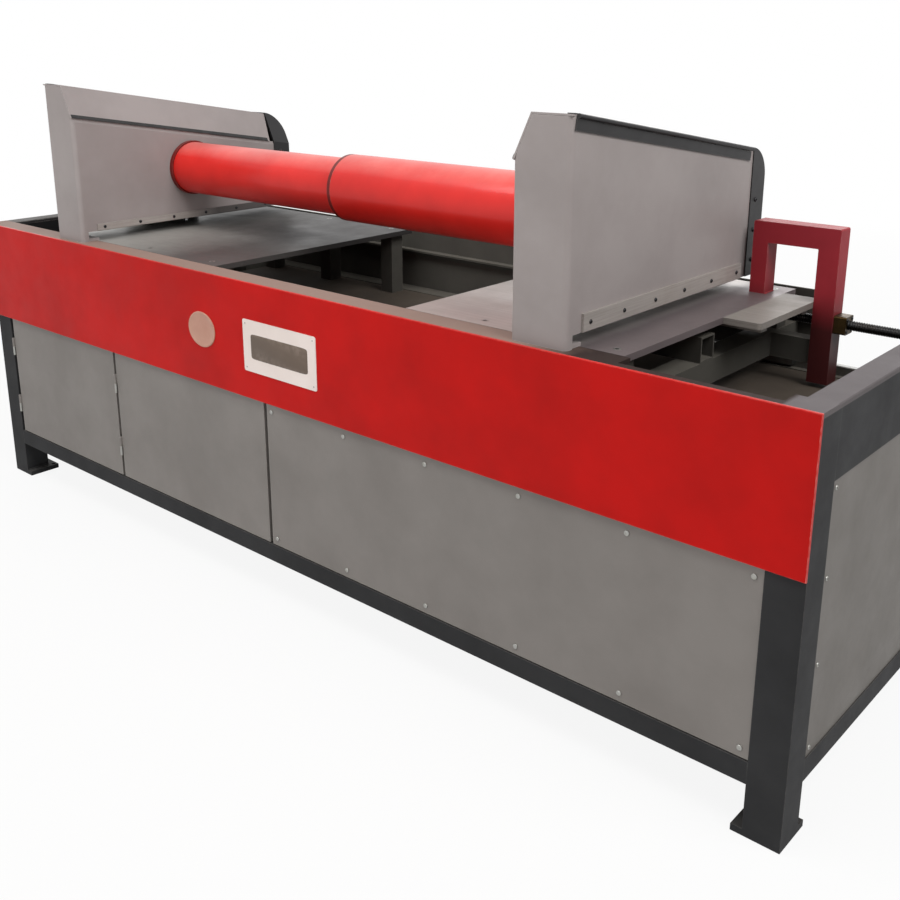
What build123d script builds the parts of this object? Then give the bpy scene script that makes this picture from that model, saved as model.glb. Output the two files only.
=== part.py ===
from build123d import *
import math
import os

# Board notching machine: two hooded cutter heads on one bed, joined by a telescopic shaft cover.
# The left head is fixed and the right head slides along the bed on a screw.
# Millimetres, X along the bed, Y from the operator's front to the back, Z up from the floor.

# Overall sizes
LENGTH = 2940.0
FRAME_DEPTH = 928.0
TABLE_Z = 900.0

# Frame
LEG = 80.0
FRAME_WALL = 4.0
FOOT_PLATE = 105.0
FOOT_T = 15.0
ANCHOR_INSET = 92.0
ANCHOR_R = 7.0
RAIL_BOTTOM = 118.0
RAIL_H = 50.0
RAIL_D = 60.0
BEAM_D = 60.0
BEAM_BELOW_TABLE = 210.0
BEAM_GAP = 4.0
END_RAIL_W = 60.0
END_RAIL_H = 140.0
STRIP_D = 66.0
STRIP_T = 10.0
STRIP_LIP_H = 40.0
STRIP_LIP_T = 6.0
STRIP_NARROW_D = 20.0
STRIP_NARROW_GAP = 15.0
CROSS_W = 60.0
CROSS_H = 80.0
TRAY_T = 3.0
TRAY_END_GAP = 35.0
CROSS_END_INSET = 60.0
LEFT_CROSS_ROWS = 3
RIGHT_CROSS_ROWS = 3
SMALL_EDGE = 2.0
CROSS_BELOW_BEAM = 5.0

# Sheet metal on the frame
FASCIA_T = 6.0
FASCIA_H = 319.0
APRON_PAST_PLATE = 70.0
APRON_LIP_D = 24.0
APRON_LIP_T = 6.0
APRON_LIP_DROP = 80.0
PANEL_T = 2.5
PANEL_INSET = 3.0
PANEL_TOP_GAP = 3.0
DOOR_D = 20.0
DOOR_INSET = 2.0
DOOR_GAP = 12.0
STILE_W = 40.0
STILE_D = 20.0
LEFT_DOOR_W = 638.0
MIDDLE_DOOR_W = 723.0
DOOR_HINGE_R = 4.5
DOOR_PIN_R = 2.5
DOOR_HINGE_H = 30.0
DOOR_HINGE_MARGIN = 70.0
DOOR_HINGE_GAP = 0.3
DOOR_PIN_SHORT = 3.0
DOOR_LEAF_T = 2.0
DOOR_ARM_W = 4.0
MAGNET_W = 10.0
MAGNET_GAP = 0.5
MAGNET_H = 40.0
SCREW_HEAD_R = 6.0
SCREW_HEAD_T = 2.5
SCREW_HEAD_EDGE = 1.5
PANEL_SCREW_COLUMNS = 6

# Plates on the fascia
DATA_PLATE_PAST_JOINT = 77.0
DATA_PLATE_DROP = 170.0
DATA_PLATE_W = 285.0
DATA_PLATE_H = 142.0
DATA_PLATE_T = 1.5
DATA_PLATE_CORNER = 6.0
BADGE_SPACING = 324.0
BADGE_DROP = 162.0
BADGE_W = 118.0
BADGE_H = 100.0
BADGE_T = 3.0
BADGE_EDGE = 1.0

# Tables
PLATE_T = 15.0
PLATE_GAP = 2.0
PLATE_REAR_INSET = 64.0
LEFT_PLATE_OUT = 10.0
LEFT_PLATE_IN = 590.0
RIGHT_PLATE_OUT = 105.0
RIGHT_PLATE_IN = 352.0
POST = 50.0
POST_INSET = 35.0
REST_PLATE_W = 92.0
REST_PLATE_FRONT = 46.0
REST_PLATE_D = 320.0
REST_BAR_W = 30.0
REST_BAR_T = 15.0
REST_BAR_LAP = 70.0
REST_BAR_INSET = 50.0
REST_CORNER_R = 10.0

# Hoods over the cutters
RIGHT_HOOD_INSET = 545.0
LEFT_HOOD_INSET = 435.0
HOOD_W = 145.0
HOOD_DEPTH = 830.0
HOOD_FRONT_INSET = 14.0
HOOD_FRONT_H = 472.0
HOOD_SLOPE = 0.16
HOOD_WALL = 5.0
HOOD_BEND_R = 14.0
HOOD_REAR_R = 70.0
HOOD_FOOT_D = 60.0
HOOD_FOOT_T = 8.0
SLOT_H = 30.0
SLOT_START = 22.0
LID_T = 4.0
LID_GAP = 0.5
LID_SKIRT_H = 95.0
LID_SKIRT_RUN = 45.0
CAP_DEPTH = 60.0
CAP_T = 8.0
CAP_FLANGE_T = 3.0
WEAR_H = 22.0
OUTER_WEAR_H = 40.0
WEAR_T = 6.0
WEAR_END = 30.0
LID_HINGE_R = 5.0
LID_PIN_R = 2.5
LID_HINGE_OFFSET = 5.5
LID_HINGE_DROP = 2.0
LID_KNUCKLES = 8
LID_KNUCKLE_GAP = 0.6
LID_LEAF_T = 3.0
LID_LEAF_W = 22.0
LID_HINGE_END = 12.0

# Arbor, cutters and their bearings
ARBOR_RISE = 195.0
ARBOR_BACK = 420.0
SHAFT_R = 22.5
BOSS_R = SHAFT_R + 7.5
HEX_FLATS = 1.6 * SHAFT_R
HEX_CLEAR = 0.4
HEX_LAP = 160.0
SPINDLE_IN = 510.0
SPINDLE_BORE_STOP = 10.0
BOSS_IN_HOOD = 20.0
WALL_HOLE_R = BOSS_R + 6.0
CUTTER_R = 150.0
CUTTER_W = 60.0
CUTTER_OFFSET = 52.0
KNIFE_TABLE_GAP = 12.0
KNIFE_R = ARBOR_RISE - KNIFE_TABLE_GAP
KNIFE_T = 10.0
KNIFE_COUNT = 4
KNIFE_SEAT = 28.0
CUTTER_FLANGE_R = 45.0
CUTTER_FLANGE_T = 10.0
ARBOR_NUT_FLATS = 65.0
ARBOR_NUT_T = 10.0
ARBOR_NUT_SHORT = 2.0
RUN_FIT = 0.05
SHAFT_END = 5.0
INNER_BEARING_T = 45.0
OUTER_BEARING_R = SHAFT_R + 7.5
TUBE_BEARING_BACK = 175.0

# Telescopic shaft cover
LEFT_TUBE_R = 82.5
TUBE_STEP = 12.5
RIGHT_TUBE_R = LEFT_TUBE_R + TUBE_STEP
TUBE_WALL = 4.0
LEFT_TUBE_LEN = 946.0
TUBE_LAP = 190.0
TUBE_COLLAR_T = 14.0
TUBE_COLLAR_OVER = 5.0
TUBE_COLLAR_UNDER = 10.0
TUBE_BEARING_GAP = 17.5
INNER_BEARING_R = LEFT_TUBE_R - TUBE_BEARING_GAP
TUBE_WIPER_T = 12.0
TUBE_WIPER_CLEAR = 0.5

# Right head
TRAVEL_LEFT = 280.0
GUIDE_W = 20.0
GUIDE_H = 25.0
GUIDE_START_MARGIN = 25.0
BLOCK_L = 90.0
BLOCK_W = 56.0
BLOCK_TOP = 30.0
BLOCK_LOW = 8.0
BLOCK_CLEAR = 0.3
CARRIAGE_BEAM = 60.0
CARRIAGE_END_GAP = 4.0
CARRIAGE_INSET = 140.0
CARRIAGE_SPREAD = 350.0
SPINE_W = 60.0
SPINE_H = 60.0
PEDESTAL_W = 45.0
PEDESTAL_D = 60.0
HOUSING_EDGE_R = 8.0
BRACKET_SIDE = 52.0
BRACKET_LEG_W = 40.0
BRACKET_LEG_OUT = 30.0
BRACKET_RISE = 180.0
BRACKET_FLOOR_GAP = 12.0
BRACKET_REAR_INSET = 144.0
BRACKET_EDGE_R = 5.0
OUTRIGGER_W = 40.0

# Screw that moves the right head
SCREW_DROP = 49.0
SCREW_R = 12.0
SCREW_HOLE_CLEAR = 3.0
SCREW_END_CLEAR = 25.0
NUT_SIDE = 44.0
NUT_T = 30.0
NUT_EDGE_R = 4.0
FLANGE_SIDE = 60.0
FLANGE_T = 15.0
FLANGE_EDGE_R = 10.0
COLLAR_R = 18.0
COLLAR_T = 10.0
COLLAR_GAP = 1.0
WHEEL_R = 92.0
WHEEL_RIM_R = 9.0
WHEEL_HUB_R = 24.0
WHEEL_HUB_T = 36.0
WHEEL_SPOKE_R = 7.0
WHEEL_SPOKES = 3
GRIP_R = 12.0
GRIP_L = 70.0
GRIP_PIN_R = 5.0
GRIP_PIN_HEAD_R = 8.0
GRIP_PIN_HEAD_T = 3.0
GRIP_GAP = 0.5
GRIP_EDGE_R = 4.0

# Drive in the bed
PULLEY_GAP = 20.0
ARBOR_PULLEY_R = 80.0
MOTOR_PULLEY_R = 100.0
BELT_COUNT = 3
BELT_W = 13.0
BELT_T = 9.0
BELT_CLEAR = 0.4
SHEAVE_T = 4.0
SHEAVE_RISE = 5.0
MOTOR_RAIL_H = 40.0
MOTOR_RAIL_W = 50.0
MOTOR_PLATE_T = 12.0
MOTOR_PLATE_W = 330.0
MOTOR_PLATE_D = 320.0
MOTOR_AXIS_RISE = 160.0
MOTOR_R = 120.0
MOTOR_L = 340.0
MOTOR_FOOT_D = 250.0
MOTOR_FOOT_T = 18.0
MOTOR_FIN_H = 10.0
MOTOR_FIN_T = 4.0
MOTOR_FINS = 11
MOTOR_SHAFT_R = 19.0
MOTOR_NOSE_T = 25.0
MOTOR_NOSE_R = 70.0
MOTOR_FOOT_INSET = 68.0
MOTOR_FIN_SPREAD = 100.0
MOTOR_WEB_D = 168.0
GUARD_MARGIN = 27.0
GUARD_T = 3.0
GUARD_SIDE_GAP = 10.0
GUARD_FLOOR_GAP = 2.0
LEFT_PEDESTAL_GAP = 110.0
LEFT_HOUSING_SIDE = 100.0

# Switch box on the left hood
BOX_W = 65.0
BOX_D = 80.0
BOX_H = 160.0
BOX_WALL = 3.0
BOX_BOTTOM_RISE = 220.0
BOX_SET_BACK = 104.0
BOX_EDGE_R = 6.0
START_RISE = 112.0
STOP_RISE = 45.0
BUTTON_STEM_R = 8.0
BUTTON_CLEAR = 0.3
BUTTON_CAP_T = 7.0
BUTTON_EDGE_R = 3.0
BUTTON_STEM_IN = 12.0
BUTTON_TRAVEL = 5.0
BEZEL_T = 4.0
BEZEL_WALL = 4.0
START_CAP_R = 12.0
STOP_CAP_R = 16.0
GLAND_R = 9.0
GLAND_BORE_R = 4.5
CABLE_HOLE_R = 6.5
GLAND_L = 22.0

# Places worked out from the sizes above
HALF_L = LENGTH / 2
HALF_D = FRAME_DEPTH / 2
FASCIA_BOTTOM = TABLE_Z - FASCIA_H
BEAM_TOP = TABLE_Z - BEAM_BELOW_TABLE
BEAM_BOTTOM = FASCIA_BOTTOM + BEAM_GAP
RAIL_TOP = RAIL_BOTTOM + RAIL_H
LEG_TOP = TABLE_Z - STRIP_T
LEG_INNER_X = HALF_L - LEG
LEG_INNER_Y = HALF_D - LEG
END_RAIL_BOTTOM = LEG_TOP - END_RAIL_H
CROSS_TOP = BEAM_TOP - CROSS_BELOW_BEAM
TRAY_TOP = CROSS_TOP + TRAY_T
BEAM_INNER_Y = HALF_D - BEAM_D
PLATE_FRONT = -HALF_D + STRIP_D + PLATE_GAP
PLATE_REAR = HALF_D - PLATE_REAR_INSET
PLATE_BOTTOM = TABLE_Z - PLATE_T
FRONT_POST_Y = PLATE_FRONT + POST_INSET
REAR_POST_Y = PLATE_REAR - POST_INSET
RIGHT_OUT_X = HALF_L - RIGHT_HOOD_INSET
RIGHT_IN_X = RIGHT_OUT_X - HOOD_W
LEFT_OUT_X = -HALF_L + LEFT_HOOD_INSET
LEFT_IN_X = LEFT_OUT_X + HOOD_W
HOOD_FRONT = -HALF_D + HOOD_FRONT_INSET
HOOD_REAR = HOOD_FRONT + HOOD_DEPTH
HOOD_TOP = TABLE_Z + HOOD_FRONT_H
SLOT_Z = TABLE_Z + SLOT_H
SLOPE_ANGLE = math.degrees(math.atan(HOOD_SLOPE))
LID_END = HOOD_REAR - CAP_DEPTH - PLATE_GAP
ARBOR_Y = HOOD_FRONT + ARBOR_BACK
ARBOR_Z = TABLE_Z + ARBOR_RISE
SCREW_Y = HALF_D - BRACKET_REAR_INSET
SCREW_Z = TABLE_Z - SCREW_DROP
RIGHT_PLATE_X = RIGHT_OUT_X + RIGHT_PLATE_OUT
BRACKET_POST_X = RIGHT_PLATE_X + REST_PLATE_W
NUT_X = BRACKET_POST_X + BRACKET_SIDE
BLOCK_BOTTOM = BEAM_TOP + BLOCK_LOW
CARRIAGE_BOTTOM = BEAM_TOP + GUIDE_H + BLOCK_TOP
CARRIAGE_TOP = CARRIAGE_BOTTOM + CARRIAGE_BEAM
SPINE_TOP = CARRIAGE_TOP + SPINE_H
CARRIAGE_X = (RIGHT_IN_X - CARRIAGE_INSET, RIGHT_IN_X - CARRIAGE_INSET + CARRIAGE_SPREAD)
SPINDLE_START = RIGHT_IN_X - SPINDLE_IN
GUIDE_Y = (-HALF_D + BEAM_D / 2, HALF_D - BEAM_D / 2)
SHEAVE_PITCH = BELT_W + 2 * BELT_CLEAR + SHEAVE_T
PULLEY_W = BELT_COUNT * SHEAVE_PITCH + SHEAVE_T
PULLEY_RIGHT = LEFT_OUT_X - PULLEY_GAP
PULLEY_LEFT = PULLEY_RIGHT - PULLEY_W
LEFT_PEDESTAL_X = PULLEY_LEFT - LEFT_PEDESTAL_GAP
MOTOR_PLATE_Z = RAIL_TOP + MOTOR_RAIL_H
MOTOR_Z = MOTOR_PLATE_Z + MOTOR_PLATE_T + MOTOR_AXIS_RISE
MOTOR_LEFT = LEFT_OUT_X
DOOR_FRONT = -HALF_D + DOOR_INSET
DOOR_BACK = DOOR_FRONT + DOOR_D
DOOR_TOP = FASCIA_BOTTOM - PANEL_TOP_GAP
DOOR_BOTTOM = RAIL_TOP + PANEL_TOP_GAP
DOOR_AXIS_Y = -HALF_D
LEFT_DOOR_AXIS_X = -LEG_INNER_X + DOOR_GAP / 2
LEFT_JOINT_X = -LEG_INNER_X + LEFT_DOOR_W
RIGHT_JOINT_X = LEFT_JOINT_X + MIDDLE_DOOR_W
DATA_PLATE_X = RIGHT_JOINT_X + DATA_PLATE_PAST_JOINT
DATA_PLATE_Z = TABLE_Z - DATA_PLATE_DROP
BADGE_X = DATA_PLATE_X - BADGE_SPACING
BADGE_Z = TABLE_Z - BADGE_DROP


def spread(first, last, count):
    """Evenly spaced places from the first to the last."""
    return [first + (last - first) * index / (count - 1) for index in range(count)]


LEFT_POST_X = spread(LEFT_IN_X - HOOD_W / 2, LEFT_IN_X + LEFT_PLATE_IN - CROSS_END_INSET, LEFT_CROSS_ROWS)
RIGHT_CROSS_X = spread(LEFT_POST_X[-1], LEG_INNER_X - CROSS_END_INSET, RIGHT_CROSS_ROWS + 1)[1:]
CROSS_X = [LEFT_PEDESTAL_X] + LEFT_POST_X + RIGHT_CROSS_X

nodes = {}


def block(x0, x1, y0, y1, z0, z1):
    """A solid box between two opposite corners."""
    centre = Pos((x0 + x1) / 2, (y0 + y1) / 2, (z0 + z1) / 2)
    return centre * Box(abs(x1 - x0), abs(y1 - y0), abs(z1 - z0))


def square_tube(x0, x1, y0, y1, z0, z1, axis, wall=FRAME_WALL):
    """A hollow rectangular tube, open at both ends along the named axis."""
    cut = {"x": (0, wall, wall), "y": (wall, 0, wall), "z": (wall, wall, 0)}[axis]
    inner = block(x0 + cut[0], x1 - cut[0], y0 + cut[1], y1 - cut[1], z0 + cut[2], z1 - cut[2])
    return block(x0, x1, y0, y1, z0, z1) - inner


def rod_x(radius, x0, x1, y=ARBOR_Y, z=ARBOR_Z):
    """A round bar along X."""
    return Pos((x0 + x1) / 2, y, z) * Rot(0, 90, 0) * Cylinder(radius, abs(x1 - x0))


def rod_y(radius, y0, y1, x, z):
    """A round bar along Y."""
    return Pos(x, (y0 + y1) / 2, z) * Rot(90, 0, 0) * Cylinder(radius, abs(y1 - y0))


def rod_z(radius, z0, z1, x, y):
    """A round bar along Z."""
    return Pos(x, y, (z0 + z1) / 2) * Cylinder(radius, abs(z1 - z0))


def ring_x(outer, inner, x0, x1, y=ARBOR_Y, z=ARBOR_Z):
    """A round ring about a line along X."""
    return rod_x(outer, x0, x1, y, z) - rod_x(inner, x0 - 1, x1 + 1, y, z)


def outline_x(points, x0, x1):
    """A plate with an outline given as (y, z) points, between two places along X."""
    wire = Polyline(*[(x0, y, z) for y, z in points], close=True)
    return extrude(make_face(wire), amount=x1 - x0, dir=(1, 0, 0))


def hex_x(flats, x0, x1):
    """A hexagon bar along X on the arbor line."""
    profile = Plane.YZ * RegularPolygon(flats / 2, 6, major_radius=False)
    return Pos(x0, ARBOR_Y, ARBOR_Z) * extrude(profile, amount=x1 - x0)


def add(name, *solids):
    """Keeps one piece, or a group of separate like pieces, under its name."""
    nodes[name] = solids[0] if len(solids) == 1 else Compound(children=list(solids))


def hood_top(y):
    """Height of a hood's sloping top at a place along Y."""
    return HOOD_TOP - HOOD_SLOPE * (y - HOOD_FRONT)


def along_slope(face, length):
    """A face in an XZ plane carried back along the slope of the hood, over a length along Y."""
    reach = length * math.hypot(1, HOOD_SLOPE)
    return extrude(face, amount=reach, dir=(0, 1, -HOOD_SLOPE))


def section(points, y):
    """A face in the XZ plane at a place along Y."""
    return make_face(Polyline(*[(x, y, z) for x, z in points], close=True))


# Frame

def build_frame():
    """Legs, feet, rails and beams of the welded frame, with the apron along its rear."""
    legs = []
    for sx in (-1, 1):
        for sy in (-1, 1):
            x0, x1 = sorted((sx * LEG_INNER_X, sx * HALF_L))
            y0, y1 = sorted((sy * LEG_INNER_Y, sy * HALF_D))
            px0, px1 = sorted((sx * (HALF_L - FOOT_PLATE), sx * HALF_L))
            py0, py1 = sorted((sy * (HALF_D - FOOT_PLATE), sy * HALF_D))
            hole = rod_z(ANCHOR_R, -1, FOOT_T + 1, sx * (HALF_L - ANCHOR_INSET), sy * (HALF_D - ANCHOR_INSET))
            foot = block(px0, px1, py0, py1, 0, FOOT_T) - hole
            legs.append(foot + square_tube(x0, x1, y0, y1, FOOT_T, LEG_TOP, "z"))
    add("frame_legs", *legs)

    rails = [
        square_tube(-LEG_INNER_X, LEG_INNER_X, -HALF_D, -HALF_D + RAIL_D, RAIL_BOTTOM, RAIL_TOP, "x"),
        square_tube(-LEG_INNER_X, LEG_INNER_X, HALF_D - RAIL_D, HALF_D, RAIL_BOTTOM, RAIL_TOP, "x"),
        square_tube(-HALF_L, -HALF_L + RAIL_D, -LEG_INNER_Y, LEG_INNER_Y, RAIL_BOTTOM, RAIL_TOP, "y"),
        square_tube(HALF_L - RAIL_D, HALF_L, -LEG_INNER_Y, LEG_INNER_Y, RAIL_BOTTOM, RAIL_TOP, "y"),
    ]
    beams = [
        square_tube(-LEG_INNER_X, LEG_INNER_X, -HALF_D, -BEAM_INNER_Y, BEAM_BOTTOM, BEAM_TOP, "x"),
        square_tube(-LEG_INNER_X, LEG_INNER_X, BEAM_INNER_Y, HALF_D, BEAM_BOTTOM, BEAM_TOP, "x"),
    ]
    strips = []
    for sx in (-1, 1):
        x0, x1 = sorted((sx * (HALF_L - END_RAIL_W), sx * HALF_L))
        end_rail = square_tube(x0, x1, -LEG_INNER_Y, LEG_INNER_Y, END_RAIL_BOTTOM, LEG_TOP, "y")
        if sx > 0:
            end_rail -= rod_x(SCREW_R + SCREW_HOLE_CLEAR, x0 - 1, x1 + 1, SCREW_Y, SCREW_Z)
        rails.append(end_rail)
        strip = block(x0, x1, -HALF_D + STRIP_D, HALF_D, LEG_TOP, TABLE_Z)
        strips.append(chamfer(strip.edges().filter_by(Axis.Y).group_by(Axis.Z)[-1], SMALL_EDGE))
    for x in (LEFT_JOINT_X, RIGHT_JOINT_X):
        rails.append(square_tube(
            x - STILE_W / 2, x + STILE_W / 2, DOOR_BACK, DOOR_BACK + STILE_D, RAIL_TOP, BEAM_BOTTOM, "z"
        ))
    add("frame_rails", *rails)

    strip = block(-HALF_L, HALF_L, -HALF_D, -HALF_D + STRIP_D, LEG_TOP, TABLE_Z)
    strip -= block(
        RIGHT_PLATE_X + STRIP_NARROW_GAP, LEG_INNER_X, -HALF_D + STRIP_NARROW_D, -HALF_D + STRIP_D + 1,
        LEG_TOP - 1, TABLE_Z + 1,
    )
    strip += block(
        -LEG_INNER_X, LEG_INNER_X, -HALF_D, -HALF_D + STRIP_LIP_T, LEG_TOP - STRIP_LIP_H, LEG_TOP
    )
    add("top_strips", strip, *strips)

    cross_members = [
        square_tube(
            x - CROSS_W / 2, x + CROSS_W / 2, -BEAM_INNER_Y, BEAM_INNER_Y, CROSS_TOP - CROSS_H, CROSS_TOP, "y"
        )
        for x in CROSS_X
    ]
    posts = [
        square_tube(x - POST / 2, x + POST / 2, y - POST / 2, y + POST / 2, TRAY_TOP, PLATE_BOTTOM, "z")
        for x in LEFT_POST_X
        for y in (FRONT_POST_Y, REAR_POST_Y)
    ]
    apron_end = RIGHT_PLATE_X + APRON_PAST_PLATE
    apron = block(-HALF_L, apron_end, HALF_D, HALF_D + FASCIA_T, FASCIA_BOTTOM, LEG_TOP)
    lip_top = TABLE_Z - APRON_LIP_DROP
    lip = block(-LEG_INNER_X, apron_end, HALF_D - APRON_LIP_D, HALF_D, lip_top - APRON_LIP_T, lip_top)
    add("bed_frame", *beams, *cross_members, *posts, apron, lip)
    add("bed_tray", block(
        LEFT_POST_X[0] - CROSS_W / 2, LEG_INNER_X - TRAY_END_GAP, -BEAM_INNER_Y, BEAM_INNER_Y,
        CROSS_TOP, TRAY_TOP,
    ))


# Fascia, panels and doors

def folded_door(x0, x1):
    """A door of sheet metal with its four edges folded back."""
    outer = block(x0, x1, DOOR_FRONT, DOOR_BACK, DOOR_BOTTOM, DOOR_TOP)
    inner = block(
        x0 + PANEL_T, x1 - PANEL_T, DOOR_FRONT + PANEL_T, DOOR_BACK + 1,
        DOOR_BOTTOM + PANEL_T, DOOR_TOP - PANEL_T,
    )
    return outer - inner


def door_hinge_heights():
    """Lower end of each hinge's fixed half on a door."""
    return (DOOR_BOTTOM + DOOR_HINGE_MARGIN, DOOR_TOP - DOOR_HINGE_MARGIN - 2 * DOOR_HINGE_H)


def door_hinge(axis_x, fixed_edge, door_edge):
    """Fixed halves with their pins, and the barrels that lift on over them."""
    leaf_y = DOOR_FRONT
    fixed = []
    barrels = []
    for z in door_hinge_heights():
        lower = rod_z(DOOR_HINGE_R, z, z + DOOR_HINGE_H, axis_x, DOOR_AXIS_Y)
        lower += rod_z(DOOR_PIN_R, z, z + 2 * DOOR_HINGE_H - DOOR_PIN_SHORT, axis_x, DOOR_AXIS_Y)
        lower += block(fixed_edge, axis_x, leaf_y, leaf_y + DOOR_LEAF_T, z, z + DOOR_HINGE_H)
        fixed.append(lower)
        low = z + DOOR_HINGE_H + DOOR_HINGE_GAP
        high = z + 2 * DOOR_HINGE_H
        barrel = rod_z(DOOR_HINGE_R, low, high, axis_x, DOOR_AXIS_Y)
        barrel += block(axis_x, door_edge, leaf_y, leaf_y + DOOR_LEAF_T, low, high)
        barrels.append(barrel - rod_z(DOOR_PIN_R + RUN_FIT, low - 1, high - 1, axis_x, DOOR_AXIS_Y))
    return fixed, barrels


def build_panels():
    """The red fascia, its plates, the fixed panels and the two doors below it."""
    fascia = block(-HALF_L, HALF_L, -HALF_D - FASCIA_T, -HALF_D, FASCIA_BOTTOM, TABLE_Z)
    add("front_fascia", fillet(fascia.edges().filter_by(Axis.X).group_by(Axis.Y)[0], SMALL_EDGE))

    face_y = -HALF_D - FASCIA_T
    plate = block(
        DATA_PLATE_X - DATA_PLATE_W / 2, DATA_PLATE_X + DATA_PLATE_W / 2, face_y - DATA_PLATE_T, face_y,
        DATA_PLATE_Z - DATA_PLATE_H / 2, DATA_PLATE_Z + DATA_PLATE_H / 2,
    )
    add("data_plate", fillet(plate.edges().filter_by(Axis.Y), DATA_PLATE_CORNER))
    oval = Plane.XZ * Ellipse(BADGE_W / 2, BADGE_H / 2)
    badge = Pos(BADGE_X, face_y, BADGE_Z) * extrude(oval, amount=BADGE_T)
    add("badge_disc", fillet(badge.edges().group_by(Axis.Y)[0], BADGE_EDGE))

    ends = [
        block(
            sx * (HALF_L - PANEL_INSET - PANEL_T), sx * (HALF_L - PANEL_INSET),
            -LEG_INNER_Y, LEG_INNER_Y, RAIL_TOP, END_RAIL_BOTTOM,
        )
        for sx in (-1, 1)
    ]
    rear = block(
        -LEG_INNER_X, LEG_INNER_X, HALF_D - PANEL_INSET - PANEL_T, HALF_D - PANEL_INSET, RAIL_TOP, BEAM_BOTTOM
    )
    add("side_and_rear_panels", *ends, rear)

    right_x0 = RIGHT_JOINT_X + DOOR_GAP / 2
    right_x1 = LEG_INNER_X
    add("front_panel_right", folded_door(right_x0, right_x1))
    screws = []
    for x in spread(right_x0 + DOOR_D, right_x1 - DOOR_D, PANEL_SCREW_COLUMNS):
        for z in (DOOR_BOTTOM + DOOR_D, DOOR_TOP - DOOR_D):
            head = rod_y(SCREW_HEAD_R, DOOR_FRONT - SCREW_HEAD_T, DOOR_FRONT, x, z)
            screws.append(fillet(head.edges().group_by(Axis.Y)[0], SCREW_HEAD_EDGE))

    left_x0 = -LEG_INNER_X + DOOR_GAP
    left_x1 = LEFT_JOINT_X - DOOR_GAP / 2
    middle_x0 = LEFT_JOINT_X + DOOR_GAP / 2
    middle_x1 = RIGHT_JOINT_X - DOOR_GAP / 2
    left_fixed, left_barrels = door_hinge(LEFT_DOOR_AXIS_X, -LEG_INNER_X, left_x0)
    add("left_door", folded_door(left_x0, left_x1), *left_barrels)
    middle_fixed, middle_barrels = door_hinge(LEFT_JOINT_X, LEFT_JOINT_X - DOOR_HINGE_R, middle_x0)
    add("middle_door", folded_door(middle_x0, middle_x1), *middle_barrels)
    arms = []
    for z in door_hinge_heights():
        arms.append(block(
            LEFT_JOINT_X - DOOR_ARM_W / 2, LEFT_JOINT_X + DOOR_ARM_W / 2, DOOR_FRONT, DOOR_BACK,
            z, z + DOOR_HINGE_H,
        ))
    middle_fixed = [half + arm for half, arm in zip(middle_fixed, arms)]
    magnet_z = (DOOR_BOTTOM + DOOR_TOP) / 2
    magnets = [
        block(
            x - STILE_W / 2 - MAGNET_W, x - STILE_W / 2, DOOR_BACK + MAGNET_GAP, DOOR_BACK + STILE_D,
            magnet_z - MAGNET_H / 2, magnet_z + MAGNET_H / 2,
        )
        for x in (LEFT_JOINT_X, RIGHT_JOINT_X)
    ]
    add("panel_hardware", *screws, *left_fixed, *middle_fixed, *magnets)


# Hoods

def hood_profile(grow, roof):
    """Side outline of a hood with its rounded rear corner, as a solid across a wide X range."""
    rear = HOOD_REAR + grow
    points = [
        (HOOD_FRONT, SLOT_Z - 2 * SLOT_H),
        (HOOD_FRONT, hood_top(HOOD_FRONT) + roof),
        (rear, hood_top(rear) + roof),
        (rear, SLOT_Z - 2 * SLOT_H),
    ]
    solid = outline_x(points, -HALF_L, HALF_L)
    corner = solid.edges().filter_by(Axis.X).sort_by(Axis.Y)[-2:].sort_by(Axis.Z)[-1]
    return fillet(corner, HOOD_REAR_R + grow)


def hood_section(side, x_in, x_out, grow_side, grow_top):
    """Front outline of a hood with its slanted inner corner, grown at the sides and on top."""
    fold = math.atan2(LID_SKIRT_H, LID_SKIRT_RUN)
    ridge = x_in + side * (LID_SKIRT_RUN - grow_top * math.tan(fold / 2))
    knee = HOOD_TOP - LID_SKIRT_H + (grow_top - grow_side * math.sin(fold)) / math.cos(fold)
    wall_in = x_in - side * grow_side
    wall_out = x_out + side * grow_side
    return section([
        (wall_in, TABLE_Z - HOOD_FRONT_H),
        (wall_in, knee),
        (ridge, HOOD_TOP + grow_top),
        (wall_out, HOOD_TOP + grow_top),
        (wall_out, TABLE_Z - HOOD_FRONT_H),
    ], HOOD_FRONT)


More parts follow.
